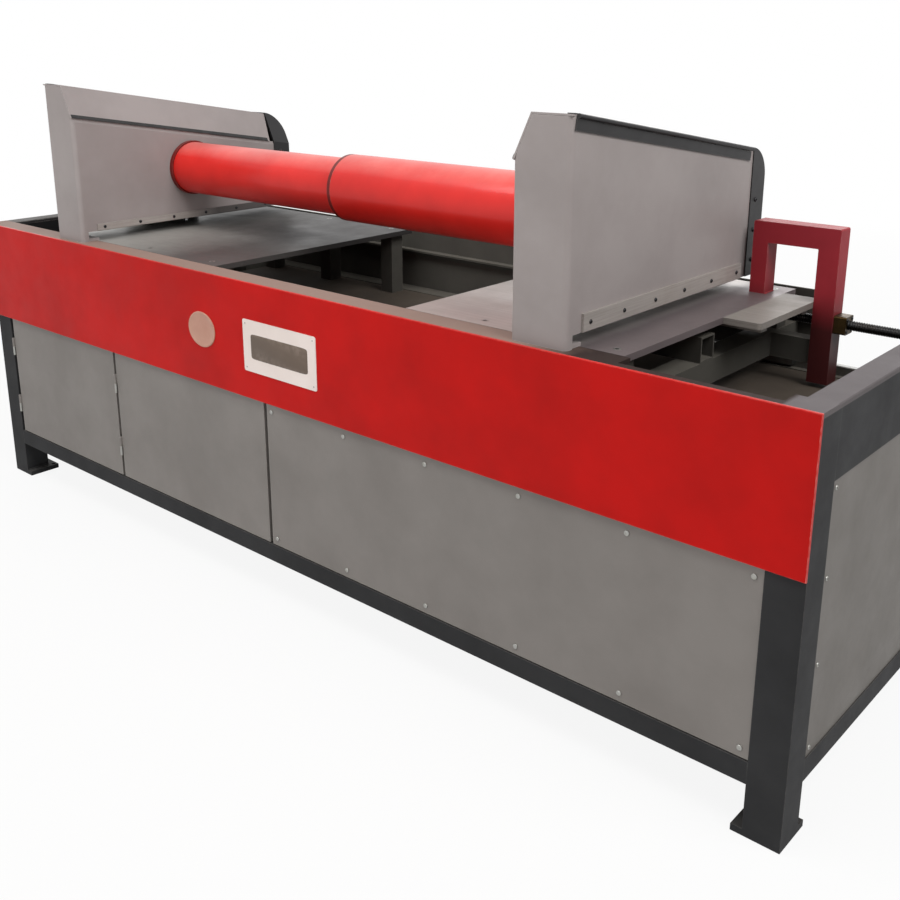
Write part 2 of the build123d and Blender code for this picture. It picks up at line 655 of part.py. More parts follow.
def build_hood(side, name, x_in, x_out):
    """One hood with its lid, hinge, rear cap and wear strip; side is 1 for right, -1 for left."""
    low, high = sorted((x_in, x_out))
    walls = block(low, high, HOOD_FRONT, HOOD_REAR, TABLE_Z, HOOD_TOP)
    walls = fillet(walls.edges().filter_by(Axis.Z).group_by(Axis.Y)[0], HOOD_BEND_R)
    inner = block(
        low + HOOD_WALL, high - HOOD_WALL, HOOD_FRONT + HOOD_WALL, HOOD_REAR + 1, TABLE_Z - 1, HOOD_TOP + 1
    )
    inner = fillet(inner.edges().filter_by(Axis.Z).group_by(Axis.Y)[0], HOOD_BEND_R - HOOD_WALL)
    walls -= inner
    under_lid = along_slope(hood_section(side, x_in, x_out, 0, -LID_T - LID_GAP), HOOD_DEPTH)
    under_lid &= hood_profile(0, 0)
    walls &= under_lid
    walls -= block(low - 1, high + 1, HOOD_FRONT + SLOT_START, HOOD_REAR + 1, TABLE_Z - 1, SLOT_Z)
    # The left arbor passes both walls; the right spindle ends inside its hood.
    hole_end = high + 1 if side < 0 else high - 2 * HOOD_WALL
    walls -= rod_x(WALL_HOLE_R, low - 1, hole_end)
    walls += block(
        low + HOOD_WALL, high - HOOD_WALL, HOOD_FRONT + HOOD_WALL, HOOD_FRONT + HOOD_FOOT_D,
        TABLE_Z, TABLE_Z + HOOD_FOOT_T,
    )
    add(name + "_hood", walls)

    cap = along_slope(hood_section(side, x_in, x_out, CAP_FLANGE_T, CAP_FLANGE_T), HOOD_DEPTH + CAP_T)
    cap &= block(-HALF_L, HALF_L, HOOD_REAR - CAP_DEPTH, HOOD_REAR + CAP_T, SLOT_Z, HOOD_TOP)
    cap &= hood_profile(CAP_T, CAP_FLANGE_T)
    add(name + "_rear_cap", cap - under_lid)

    strips = [wear_strip(x_in, x_in - side * WEAR_T, WEAR_H)]
    if side > 0:
        strips.append(wear_strip(x_out, x_out + side * WEAR_T, OUTER_WEAR_H))
    add(name + "_wear_strip", *strips)

    build_lid(side, name, x_in, x_out)


def wear_strip(wall_x, face_x, height):
    """A steel strip along the lower edge of a hood wall, over the board slot."""
    low, high = sorted((wall_x, face_x))
    strip = block(
        low, high, HOOD_FRONT + SLOT_START + WEAR_END, HOOD_REAR - CAP_DEPTH - WEAR_END,
        SLOT_Z, SLOT_Z + height,
    )
    return chamfer(strip.edges().filter_by(Axis.Y).group_by(Axis.Z)[0], SMALL_EDGE)


def build_lid(side, name, x_in, x_out):
    """The folded lid of a hood, with a square rear end, and the long hinge along its outer edge."""
    fold = math.atan2(LID_SKIRT_H, LID_SKIRT_RUN)
    ridge = x_in + side * LID_SKIRT_RUN
    outer_edge = x_out - side * LID_GAP
    lid = section([
        (outer_edge, HOOD_TOP),
        (ridge, HOOD_TOP),
        (x_in, HOOD_TOP - LID_SKIRT_H),
        (x_in + side * LID_T * math.sin(fold), HOOD_TOP - LID_SKIRT_H - LID_T * math.cos(fold)),
        (ridge + side * LID_T * math.tan(fold / 2), HOOD_TOP - LID_T),
        (outer_edge, HOOD_TOP - LID_T),
    ], HOOD_FRONT)
    square_end = Location((0, LID_END, hood_top(LID_END)), (-SLOPE_ANGLE, 0, 0))
    kept = square_end * block(-HALF_L, HALF_L, -2 * HOOD_DEPTH, 0, -HOOD_FRONT_H, HOOD_FRONT_H)
    add(name + "_hood_lid", along_slope(lid, LID_END - HOOD_FRONT) & kept)

    start = HOOD_FRONT + LID_HINGE_END
    run = (LID_END - LID_HINGE_END - start) * math.hypot(1, HOOD_SLOPE)
    drop = LID_HINGE_DROP / math.cos(math.radians(SLOPE_ANGLE))
    axis_x = x_out + side * LID_HINGE_OFFSET
    place = Location((axis_x, start, hood_top(start) - drop), (-SLOPE_ANGLE, 0, 0))
    step = run / LID_KNUCKLES
    fixed_leaf = leaf(
        (-side * LID_HINGE_OFFSET, -side * (LID_HINGE_OFFSET - LID_LEAF_T)), run,
        (-LID_HINGE_R - 1 - LID_LEAF_W, -LID_HINGE_R - 1),
    )
    lid_leaf = leaf(
        (-side * (LID_HINGE_OFFSET + LID_LEAF_W), -side * (LID_HINGE_OFFSET + LID_GAP)), run,
        (LID_HINGE_DROP, LID_HINGE_DROP + LID_LEAF_T),
    )
    for index in range(LID_KNUCKLES):
        y0 = index * step + LID_KNUCKLE_GAP / 2
        y1 = (index + 1) * step - LID_KNUCKLE_GAP / 2
        knuckle = rod_y(LID_HINGE_R, y0, y1, 0, 0)
        if index % 2 == 0:
            bridge = (-side * LID_HINGE_OFFSET, -side * (LID_HINGE_OFFSET - LID_LEAF_T))
            knuckle += leaf(bridge, y1 - y0, (-LID_HINGE_R - 1, 0), y0)
            fixed_leaf += knuckle
        else:
            bridge = (-side * (LID_HINGE_OFFSET + LID_GAP), 0)
            knuckle += leaf(bridge, y1 - y0, (LID_HINGE_DROP, LID_HINGE_DROP + LID_LEAF_T), y0)
            lid_leaf += knuckle
    bore = rod_y(LID_PIN_R + RUN_FIT, -1, run + 1, 0, 0)
    add(name + "_lid_hinge", place * (fixed_leaf - bore), place * rod_y(LID_PIN_R, 0, run, 0, 0))
    add(name + "_lid_leaf", place * (lid_leaf - bore))


def leaf(x_range, length, z_range, y0=0.0):
    """A flat hinge leaf in the hinge's own frame, with the pin along Y."""
    x0, x1 = sorted(x_range)
    return block(x0, x1, y0, y0 + length, z_range[0], z_range[1])


# Tables

def build_tables():
    """Fixed left table, sliding right table and what stands under them."""
    add("left_table_plate", block(
        LEFT_OUT_X - LEFT_PLATE_OUT, LEFT_IN_X + LEFT_PLATE_IN, PLATE_FRONT, PLATE_REAR, PLATE_BOTTOM, TABLE_Z
    ))
    plate_x1 = RIGHT_PLATE_X
    add("right_table_plate", block(
        RIGHT_IN_X - RIGHT_PLATE_IN, plate_x1, PLATE_FRONT, PLATE_REAR, PLATE_BOTTOM, TABLE_Z
    ))
    rest_y0 = ARBOR_Y + REST_PLATE_FRONT
    rest_y1 = rest_y0 + REST_PLATE_D
    rest = block(plate_x1, plate_x1 + REST_PLATE_W, rest_y0, rest_y1, PLATE_BOTTOM, TABLE_Z)
    rest = fillet(rest.edges().filter_by(Axis.Z).group_by(Axis.X)[-1], REST_CORNER_R)
    bars = [
        block(
            plate_x1 - REST_BAR_LAP, plate_x1 + REST_PLATE_W - REST_BAR_T,
            y - REST_BAR_W / 2, y + REST_BAR_W / 2, PLATE_BOTTOM - REST_BAR_T, PLATE_BOTTOM,
        )
        for y in (rest_y0 + REST_BAR_INSET, rest_y1 - REST_BAR_INSET)
    ]
    add("board_rest_plate", rest, *bars)


# Arbor, cutters and shaft cover

def cutter(x0, x1):
    """A round cutter body with seats for its knives, and the knives standing out of it."""
    body = rod_x(CUTTER_R, x0, x1) - rod_x(SHAFT_R, x0 - 1, x1 + 1)
    knives = []
    for index in range(KNIFE_COUNT):
        turn = 360 * index / KNIFE_COUNT
        blade = block(x0, x1, -KNIFE_T / 2, KNIFE_T / 2, CUTTER_R - KNIFE_SEAT, KNIFE_R)
        tip = Rot(turn, 0, 0) * blade
        placed = Pos(0, ARBOR_Y, ARBOR_Z) * tip
        body -= placed
        knives.append(placed)
    return body, knives


def cutter_flanges(x0, x1):
    """The two clamping rings at the sides of a cutter."""
    return (
        ring_x(CUTTER_FLANGE_R, SHAFT_R, x0 - CUTTER_FLANGE_T, x0),
        ring_x(CUTTER_FLANGE_R, SHAFT_R, x1, x1 + CUTTER_FLANGE_T),
    )


def build_left_spindle():
    """Left arbor with its hexagon tail, cutter, pulley and bearings."""
    boss_left = LEFT_IN_X - BOSS_IN_HOOD
    boss_right = LEFT_IN_X + INNER_BEARING_T + TUBE_COLLAR_T
    shaft = rod_x(SHAFT_R, LEFT_PEDESTAL_X - PEDESTAL_W / 2 - SHAFT_END, boss_left)
    shaft += rod_x(BOSS_R, boss_left, boss_right)
    shaft += hex_x(HEX_FLATS, boss_right, SPINDLE_START + HEX_LAP)
    add("arbor_shaft", shaft)

    x1 = LEFT_IN_X - CUTTER_OFFSET
    body, knives = cutter(x1 - CUTTER_W, x1)
    add("left_cutter", body, *cutter_flanges(x1 - CUTTER_W, x1))
    add("left_cutter_knives", *knives)
    add("arbor_pulley", pulley(ARBOR_PULLEY_R, SHAFT_R, ARBOR_Z))
    inner_bearing = ring_x(INNER_BEARING_R, BOSS_R + RUN_FIT, LEFT_IN_X, LEFT_IN_X + INNER_BEARING_T)

    half = LEFT_HOUSING_SIDE / 2
    left = LEFT_PEDESTAL_X - PEDESTAL_W / 2
    right = LEFT_PEDESTAL_X + PEDESTAL_W / 2
    pedestal = block(left, right, ARBOR_Y - half, ARBOR_Y + half, ARBOR_Z - half, ARBOR_Z + half)
    pedestal = fillet(pedestal.edges().filter_by(Axis.X), HOUSING_EDGE_R)
    pedestal += block(
        left, right, ARBOR_Y - PEDESTAL_D / 2, ARBOR_Y + PEDESTAL_D / 2, CROSS_TOP, ARBOR_Z - OUTER_BEARING_R
    )
    add("left_pedestal", pedestal - rod_x(OUTER_BEARING_R, left - 1, right + 1))
    add("left_bearings", inner_bearing, ring_x(OUTER_BEARING_R, SHAFT_R + RUN_FIT, left, right))


def build_right_spindle():
    """Right spindle with its hexagon socket, cutter and clamping nut, and its two bearings."""
    boss_right = RIGHT_IN_X + BOSS_IN_HOOD
    x0 = RIGHT_IN_X + CUTTER_OFFSET
    x1 = x0 + CUTTER_W
    nut_x0 = x1 + CUTTER_FLANGE_T
    nut_x1 = nut_x0 + ARBOR_NUT_T
    spindle = rod_x(BOSS_R, SPINDLE_START, boss_right)
    spindle += rod_x(SHAFT_R, boss_right, nut_x1 + ARBOR_NUT_SHORT)
    spindle -= hex_x(HEX_FLATS + 2 * HEX_CLEAR, SPINDLE_START - 1, RIGHT_IN_X - SPINDLE_BORE_STOP)
    add("right_spindle", spindle)

    body, knives = cutter(x0, x1)
    nut = hex_x(ARBOR_NUT_FLATS, nut_x0, nut_x1) - rod_x(SHAFT_R, nut_x0 - 1, nut_x1 + 1)
    add("right_cutter", body, *cutter_flanges(x0, x1), nut)
    add("right_cutter_knives", *knives)
    wall_bearing = ring_x(INNER_BEARING_R, BOSS_R + RUN_FIT, RIGHT_IN_X - INNER_BEARING_T, RIGHT_IN_X)
    tube_x0 = RIGHT_IN_X - INNER_BEARING_T - TUBE_BEARING_BACK
    tube_bearing = ring_x(RIGHT_TUBE_R - TUBE_WALL, BOSS_R + RUN_FIT, tube_x0, tube_x0 + INNER_BEARING_T)
    add("right_bearings", wall_bearing, tube_bearing)


def build_shaft_cover():
    """The two red tubes over the shaft, their end collars and the wiper ring between them."""
    left_x0 = LEFT_IN_X + TUBE_COLLAR_T
    add("left_tube", ring_x(LEFT_TUBE_R, LEFT_TUBE_R - TUBE_WALL, left_x0, left_x0 + LEFT_TUBE_LEN))
    add("left_tube_collar", ring_x(
        LEFT_TUBE_R + TUBE_COLLAR_OVER, LEFT_TUBE_R - TUBE_COLLAR_UNDER, LEFT_IN_X, left_x0
    ))
    right_x1 = RIGHT_IN_X - TUBE_COLLAR_T
    right_x0 = left_x0 + LEFT_TUBE_LEN - TUBE_LAP
    add("right_tube", ring_x(RIGHT_TUBE_R, RIGHT_TUBE_R - TUBE_WALL, right_x0, right_x1))
    collar = ring_x(RIGHT_TUBE_R + TUBE_COLLAR_OVER, RIGHT_TUBE_R - TUBE_COLLAR_UNDER, right_x1, RIGHT_IN_X)
    wiper = ring_x(RIGHT_TUBE_R, LEFT_TUBE_R + TUBE_WIPER_CLEAR, right_x0 - TUBE_WIPER_T, right_x0)
    add("right_tube_rings", collar, wiper)


# Right head carriage and its screw

def build_carriage():
    """Guide rails, bearing blocks and the frame that carries the right head."""
    guide_x0 = CARRIAGE_X[0] - BLOCK_L / 2 - TRAVEL_LEFT - GUIDE_START_MARGIN
    guides = []
    for y in GUIDE_Y:
        bar = block(guide_x0, LEG_INNER_X, y - GUIDE_W / 2, y + GUIDE_W / 2, BEAM_TOP, BEAM_TOP + GUIDE_H)
        guides.append(chamfer(bar.edges().filter_by(Axis.X).group_by(Axis.Z)[-1], SMALL_EDGE))
    add("guide_rails", *guides)

    blocks = []
    for x in CARRIAGE_X:
        for y in GUIDE_Y:
            shoe = block(
                x - BLOCK_L / 2, x + BLOCK_L / 2, y - BLOCK_W / 2, y + BLOCK_W / 2,
                BLOCK_BOTTOM, CARRIAGE_BOTTOM,
            )
            shoe -= block(
                x - BLOCK_L, x + BLOCK_L, y - GUIDE_W / 2 - BLOCK_CLEAR, y + GUIDE_W / 2 + BLOCK_CLEAR,
                BLOCK_BOTTOM - 1, BEAM_TOP + GUIDE_H + BLOCK_CLEAR,
            )
            blocks.append(shoe)
    add("carriage_blocks", *blocks)
    cross_beams = [
        square_tube(
            x - CARRIAGE_BEAM / 2, x + CARRIAGE_BEAM / 2,
            -HALF_D + CARRIAGE_END_GAP, HALF_D - CARRIAGE_END_GAP, CARRIAGE_BOTTOM, CARRIAGE_TOP, "y",
        )
        for x in CARRIAGE_X
    ]
    arm_x0 = CARRIAGE_X[1] + CARRIAGE_BEAM / 2
    spine = square_tube(
        CARRIAGE_X[0] - CARRIAGE_BEAM / 2, arm_x0, ARBOR_Y - SPINE_W / 2, ARBOR_Y + SPINE_W / 2,
        CARRIAGE_TOP, SPINE_TOP, "x",
    )
    arm = square_tube(
        arm_x0, BRACKET_POST_X, SCREW_Y - OUTRIGGER_W / 2, SCREW_Y + OUTRIGGER_W / 2,
        CARRIAGE_BOTTOM, CARRIAGE_TOP, "x",
    )
    posts = [
        square_tube(x - POST / 2, x + POST / 2, y - POST / 2, y + POST / 2, CARRIAGE_TOP, PLATE_BOTTOM, "z")
        for x in CARRIAGE_X
        for y in (FRONT_POST_Y, REAR_POST_Y)
    ]
    add("right_carriage", *cross_beams, spine, arm, *posts)


def build_bracket():
    """The red bracket outside the right hood, which takes the screw and ties it to the table."""
    y0 = SCREW_Y - BRACKET_SIDE / 2
    y1 = SCREW_Y + BRACKET_SIDE / 2
    top = TABLE_Z + BRACKET_RISE
    bar_bottom = top - BRACKET_SIDE
    leg_x0 = RIGHT_OUT_X + BRACKET_LEG_OUT
    shape = block(leg_x0, NUT_X, y0, y1, bar_bottom, top)
    shape += block(leg_x0, leg_x0 + BRACKET_LEG_W, y0, y1, TABLE_Z, top)
    shape += block(BRACKET_POST_X, NUT_X, y0, y1, TRAY_TOP + BRACKET_FLOOR_GAP, top)
    shape = fillet(shape.edges().filter_by(Axis.Y).group_by(Axis.Z)[-1], BRACKET_EDGE_R)
    hole = rod_x(SCREW_R + SCREW_HOLE_CLEAR, BRACKET_POST_X - 1, NUT_X + 1, SCREW_Y, SCREW_Z)
    add("head_bracket", shape - hole)


def build_screw():
    """Adjusting screw with its nut, bearing flange, handwheel and turning grip."""
    start = NUT_X - TRAVEL_LEFT - SCREW_END_CLEAR
    flange_x1 = HALF_L - END_RAIL_W
    flange_x0 = flange_x1 - FLANGE_T
    hub_x0 = HALF_L + COLLAR_GAP + COLLAR_T
    hub_x1 = hub_x0 + WHEEL_HUB_T
    screw = rod_x(SCREW_R, start, hub_x1, SCREW_Y, SCREW_Z)
    screw += rod_x(COLLAR_R, flange_x0 - COLLAR_GAP - COLLAR_T, flange_x0 - COLLAR_GAP, SCREW_Y, SCREW_Z)
    screw += rod_x(COLLAR_R, HALF_L + COLLAR_GAP, hub_x0, SCREW_Y, SCREW_Z)
    add("adjusting_screw", screw)

    nut = square_plate(NUT_X, NUT_X + NUT_T, NUT_SIDE, NUT_EDGE_R)
    add("screw_nut", nut - rod_x(SCREW_R + RUN_FIT, NUT_X - 1, NUT_X + NUT_T + 1, SCREW_Y, SCREW_Z))
    flange = square_plate(flange_x0, flange_x1, FLANGE_SIDE, FLANGE_EDGE_R)
    add("screw_bracket", flange - rod_x(SCREW_R + RUN_FIT, flange_x0 - 1, flange_x1 + 1, SCREW_Y, SCREW_Z))

    wheel_x = (hub_x0 + hub_x1) / 2
    wheel = rod_x(WHEEL_HUB_R, hub_x0, hub_x1, SCREW_Y, SCREW_Z)
    wheel += Pos(wheel_x, SCREW_Y, SCREW_Z) * Rot(0, 90, 0) * Torus(WHEEL_R, WHEEL_RIM_R)
    for index in range(WHEEL_SPOKES):
        spoke = rod_z(WHEEL_SPOKE_R, 0, WHEEL_R, 0, 0)
        wheel += Pos(wheel_x, SCREW_Y, SCREW_Z) * Rot(360 * index / WHEEL_SPOKES, 0, 0) * spoke
    wheel -= rod_x(SCREW_R, hub_x0 - 1, hub_x1 + 1, SCREW_Y, SCREW_Z)

    grip_z = SCREW_Z + WHEEL_R
    seat_x = wheel_x + WHEEL_RIM_R
    wheel += rod_x(GRIP_PIN_HEAD_R, wheel_x, seat_x, SCREW_Y, grip_z)
    pin_end = seat_x + GRIP_L + 2 * GRIP_GAP
    wheel += rod_x(GRIP_PIN_R, wheel_x, pin_end, SCREW_Y, grip_z)
    wheel += rod_x(GRIP_PIN_HEAD_R, pin_end, pin_end + GRIP_PIN_HEAD_T, SCREW_Y, grip_z)
    add("handwheel", wheel)
    grip_x0 = seat_x + GRIP_GAP
    grip = ring_x(GRIP_R, GRIP_PIN_R + RUN_FIT, grip_x0, grip_x0 + GRIP_L, SCREW_Y, grip_z)
    rims = [edge for edge in grip.edges().filter_by(GeomType.CIRCLE) if edge.radius > GRIP_R - GRIP_EDGE_R]
    add("handwheel_grip", fillet(rims, GRIP_EDGE_R))


def square_plate(x0, x1, side, edge_r):
    """A square plate round the screw line with rounded corners."""
    half = side / 2
    plate = block(x0, x1, SCREW_Y - half, SCREW_Y + half, SCREW_Z - half, SCREW_Z + half)
    return fillet(plate.edges().filter_by(Axis.X), edge_r)


# Motor and belts

def pulley(radius, bore, z):
    """A grooved pulley: a drum under the belts with sheave walls between them."""
    wheel = rod_x(radius - BELT_CLEAR, PULLEY_LEFT, PULLEY_RIGHT, ARBOR_Y, z)
    for index in range(BELT_COUNT + 1):
        x0 = PULLEY_LEFT + index * SHEAVE_PITCH
        wheel += rod_x(radius + SHEAVE_RISE, x0, x0 + SHEAVE_T, ARBOR_Y, z)
    return wheel - rod_x(bore, PULLEY_LEFT - 1, PULLEY_RIGHT + 1, ARBOR_Y, z)


def belt_outline(grow):
    """The taut line round both pulleys, as a face in the YZ plane at the origin."""
    upper = Pos(ARBOR_Y, ARBOR_Z) * Circle(ARBOR_PULLEY_R + grow)
    lower = Pos(ARBOR_Y, MOTOR_Z) * Circle(MOTOR_PULLEY_R + grow)
    return Plane.YZ * make_hull(upper.edges() + lower.edges())


def build_drive():
    """Motor on its base in the bed, belts up to the arbor and the guard round them."""
    belts = []
    for index in range(BELT_COUNT):
        x0 = PULLEY_LEFT + SHEAVE_T + BELT_CLEAR + index * SHEAVE_PITCH
        loop = extrude(belt_outline(BELT_T), amount=BELT_W) - extrude(belt_outline(0), amount=BELT_W)
        belts.append(Pos(x0, 0, 0) * loop)
    add("drive_belts", *belts)

    motor_right = MOTOR_LEFT + MOTOR_L
    rail_x = (MOTOR_LEFT + MOTOR_FOOT_INSET, motor_right - MOTOR_FOOT_INSET)
    rails = [
        square_tube(
            x - MOTOR_RAIL_W / 2, x + MOTOR_RAIL_W / 2, DOOR_BACK + STILE_D, HALF_D - PANEL_INSET - PANEL_T,
            RAIL_TOP, MOTOR_PLATE_Z, "y",
        )
        for x in rail_x
    ]
    plate_x0 = MOTOR_LEFT + (MOTOR_L - MOTOR_PLATE_W) / 2
    plate_top = MOTOR_PLATE_Z + MOTOR_PLATE_T
    plate = block(
        plate_x0, plate_x0 + MOTOR_PLATE_W, ARBOR_Y - MOTOR_PLATE_D / 2, ARBOR_Y + MOTOR_PLATE_D / 2,
        MOTOR_PLATE_Z, plate_top,
    )
    add("motor_base", plate, *rails)
    motor = rod_x(MOTOR_R, MOTOR_LEFT + MOTOR_NOSE_T, motor_right, ARBOR_Y, MOTOR_Z)
    motor += rod_x(MOTOR_NOSE_R, MOTOR_LEFT, motor_right, ARBOR_Y, MOTOR_Z)
    for angle in spread(-MOTOR_FIN_SPREAD, MOTOR_FIN_SPREAD, MOTOR_FINS):
        fin = block(
            MOTOR_LEFT + 2 * MOTOR_NOSE_T, motor_right - MOTOR_NOSE_T, -MOTOR_FIN_T / 2, MOTOR_FIN_T / 2,
            MOTOR_R - MOTOR_FIN_H, MOTOR_R + MOTOR_FIN_H,
        )
        motor += Pos(0, ARBOR_Y, MOTOR_Z) * Rot(angle, 0, 0) * fin
    for x in rail_x:
        foot = block(
            x - MOTOR_RAIL_W / 2, x + MOTOR_RAIL_W / 2,
            ARBOR_Y - MOTOR_FOOT_D / 2, ARBOR_Y + MOTOR_FOOT_D / 2, plate_top, plate_top + MOTOR_FOOT_T,
        )
        web = block(
            x - MOTOR_RAIL_W / 2, x + MOTOR_RAIL_W / 2, ARBOR_Y - MOTOR_WEB_D / 2, ARBOR_Y + MOTOR_WEB_D / 2,
            plate_top, MOTOR_Z,
        )
        motor += foot + web
    motor -= rod_x(MOTOR_SHAFT_R + RUN_FIT, MOTOR_LEFT - 1, motor_right - MOTOR_NOSE_T, ARBOR_Y, MOTOR_Z)
    add("motor_body", motor)
    shaft = rod_x(MOTOR_SHAFT_R, PULLEY_LEFT - SHAFT_END, motor_right - 2 * MOTOR_NOSE_T, ARBOR_Y, MOTOR_Z)
    add("motor_rotor", shaft, pulley(MOTOR_PULLEY_R, MOTOR_SHAFT_R, MOTOR_Z))

    radius = ARBOR_PULLEY_R + BELT_T + GUARD_MARGIN
    guard_x0 = PULLEY_LEFT - GUARD_SIDE_GAP - GUARD_T
    outer = guard_outline(radius, guard_x0, LEFT_OUT_X)
    hollow = guard_outline(radius - GUARD_T, guard_x0 + GUARD_T, LEFT_OUT_X + 1, GUARD_T)
    add("belt_guard", outer - hollow - rod_x(WALL_HOLE_R, guard_x0 - 1, LEFT_OUT_X + 1))


def guard_outline(radius, x0, x1, extra=0.0):
    """An arch over the arbor pulley with straight sides down to the table."""
    base = TABLE_Z + GUARD_FLOOR_GAP - extra
    arch = rod_x(radius, x0, x1)
    return arch + block(x0, x1, ARBOR_Y - radius, ARBOR_Y + radius, base, ARBOR_Z)


# Switch box

def build_switches():
    """Push-button box on the outer side of the left hood, with its two buttons and cable gland."""
    x1 = LEFT_OUT_X
    x0 = x1 - BOX_W
    y0 = HOOD_FRONT + BOX_SET_BACK
    z0 = TABLE_Z + BOX_BOTTOM_RISE
    box = block(x0, x1, y0, y0 + BOX_D, z0, z0 + BOX_H)
    box = fillet(box.edges().filter_by(Axis.Y), BOX_EDGE_R)
    box -= block(
        x0 + BOX_WALL, x1 - BOX_WALL, y0 + BOX_WALL, y0 + BOX_D - BOX_WALL,
        z0 + BOX_WALL, z0 + BOX_H - BOX_WALL,
    )
    centre_x = (x0 + x1) / 2
    places = {
        "start_button": (z0 + START_RISE, START_CAP_R),
        "stop_button": (z0 + STOP_RISE, STOP_CAP_R),
    }
    bezels = []
    for name, (z, cap_r) in places.items():
        hole_r = BUTTON_STEM_R + BUTTON_CLEAR
        box -= rod_y(hole_r, y0 - 1, y0 + 2 * BOX_WALL, centre_x, z)
        bezel = rod_y(hole_r + BEZEL_WALL, y0 - BEZEL_T, y0, centre_x, z)
        bezels.append(bezel - rod_y(hole_r, y0 - 2 * BEZEL_T, y0 + 1, centre_x, z))
        cap_back = y0 - BEZEL_T - BUTTON_TRAVEL - BUTTON_CLEAR
        cap = rod_y(cap_r, cap_back - BUTTON_CAP_T, cap_back, centre_x, z)
        cap = fillet(cap.edges().group_by(Axis.Y)[0], BUTTON_EDGE_R)
        stem = rod_y(BUTTON_STEM_R, cap_back, y0 + BUTTON_STEM_IN, centre_x, z)
        add(name, cap + stem)
    gland_y = y0 + BOX_D / 2
    add("switch_box", box - rod_z(CABLE_HOLE_R, z0 - 1, z0 + BOX_WALL + 1, centre_x, gland_y))
    gland = rod_z(GLAND_R, z0 - GLAND_L, z0, centre_x, gland_y)
    gland -= rod_z(GLAND_BORE_R, z0 - GLAND_L - 1, z0 + 1, centre_x, gland_y)
    add("switch_box_fittings", *bezels, gland)


def main():
    """Builds every piece and writes one file for each."""
    build_frame()
    build_panels()
    build_tables()
    build_hood(1, "right", RIGHT_IN_X, RIGHT_OUT_X)
    build_hood(-1, "left", LEFT_IN_X, LEFT_OUT_X)
    build_left_spindle()
    build_right_spindle()
    build_shaft_cover()
    build_carriage()
    build_bracket()
    build_screw()
    build_drive()
    build_switches()
    os.makedirs("parts", exist_ok=True)
    for name, shape in nodes.items():
        export_step(shape, "parts/" + name + ".step")
    print(len(nodes), "nodes")


main()
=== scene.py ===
import logging
import math
from abc import ABC, abstractmethod
from dataclasses import dataclass, replace
from enum import Enum
from typing import Any, ClassVar, Sequence

import bpy
import numpy as np
from bpy.types import Material, Node, NodeSocket, NodeTree, Object
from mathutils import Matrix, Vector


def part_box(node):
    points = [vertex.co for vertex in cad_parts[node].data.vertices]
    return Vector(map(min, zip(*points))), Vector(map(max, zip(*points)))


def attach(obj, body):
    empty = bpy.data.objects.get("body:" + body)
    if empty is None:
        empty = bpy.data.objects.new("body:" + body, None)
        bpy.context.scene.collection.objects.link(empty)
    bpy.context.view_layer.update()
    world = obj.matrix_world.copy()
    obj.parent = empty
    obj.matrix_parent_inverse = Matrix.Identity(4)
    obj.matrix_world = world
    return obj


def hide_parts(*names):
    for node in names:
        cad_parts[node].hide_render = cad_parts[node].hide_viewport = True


# Board notching machine: finishes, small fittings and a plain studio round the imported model.
# Metres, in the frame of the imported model: X along the bed, Y from the front to the back, Z up.

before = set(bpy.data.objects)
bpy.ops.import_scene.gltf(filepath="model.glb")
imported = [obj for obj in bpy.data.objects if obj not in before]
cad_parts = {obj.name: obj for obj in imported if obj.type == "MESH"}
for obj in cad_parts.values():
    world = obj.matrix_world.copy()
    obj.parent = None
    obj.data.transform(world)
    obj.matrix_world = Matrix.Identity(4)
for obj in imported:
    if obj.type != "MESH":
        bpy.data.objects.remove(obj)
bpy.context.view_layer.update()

MM = 0.001
MM_PER_M = 1000.0
# Side of the frame's square legs, and the line on which both cutters turn, straight above the motor.
LEG_SIDE = 80.0 * MM
SHAFT_Y = -30.0 * MM
SHAFT_Z = 1095.0 * MM
# Weld beads stay smooth all over, so their edges count as sharp only from this angle in degrees.
BEAD_SHARP = 80.0
LOG = logging.getLogger("notching_machine")
Pair = tuple[float, float]
Triple = tuple[float, float, float]


class Axis(Enum):
    """The line along which a fitting stands or a bar runs."""

    X = 0
    Y = 1
    Z = 2


class Side(Enum):
    """The two heads of the machine; the value is the way from a head to its own end of the bed."""

    LEFT = -1
    RIGHT = 1


# Node graphs and finishes

def linear(code: str) -> tuple[float, float, float, float]:
    """Turns an sRGB hex colour to linear.

    Args:
        code: colour such as "#B81F1B".

    Returns:
        Red, green, blue and an alpha of 1.
    """
    srgb = np.array([int(code[place:place + 2], 16) for place in (1, 3, 5)]) / 255.0
    red, green, blue = np.where(srgb <= 0.04045, srgb / 12.92, ((srgb + 0.055) / 1.055) ** 2.4).tolist()
    return (red, green, blue, 1.0)


def feed(tree: NodeTree, node: Node, inputs: dict[Any, Any]) -> None:
    """Sets or links a node's inputs.

    Args:
        tree: the tree that holds the node.
        node: the node to set.
        inputs: numbers, colours, sockets or nodes, by the input's name or place. A node stands for the
            first of its outputs that is in use.
    """
    for key, value in inputs.items():
        if isinstance(value, Node):
            value = next(output for output in value.outputs if output.enabled)
        if isinstance(value, NodeSocket):
            tree.links.new(value, node.inputs[key])
        else:
            node.inputs[key].default_value = value


def add_node(tree: NodeTree, kind: str, inputs: dict[Any, Any] | None = None, **settings: Any) -> Node:
    """Adds one shader node with its settings and links.

    Args:
        tree: the tree that gets the node.
        kind: Blender's name of the node type, after the word ShaderNode.
        inputs: numbers, colours, sockets or nodes, by the input's name or place.
        settings: properties of the node itself.

    Returns:
        The new node.
    """
    node = tree.nodes.new("ShaderNode" + kind)
    for key, value in settings.items():
        setattr(node, key, value)
    feed(tree, node, inputs or {})
    return node


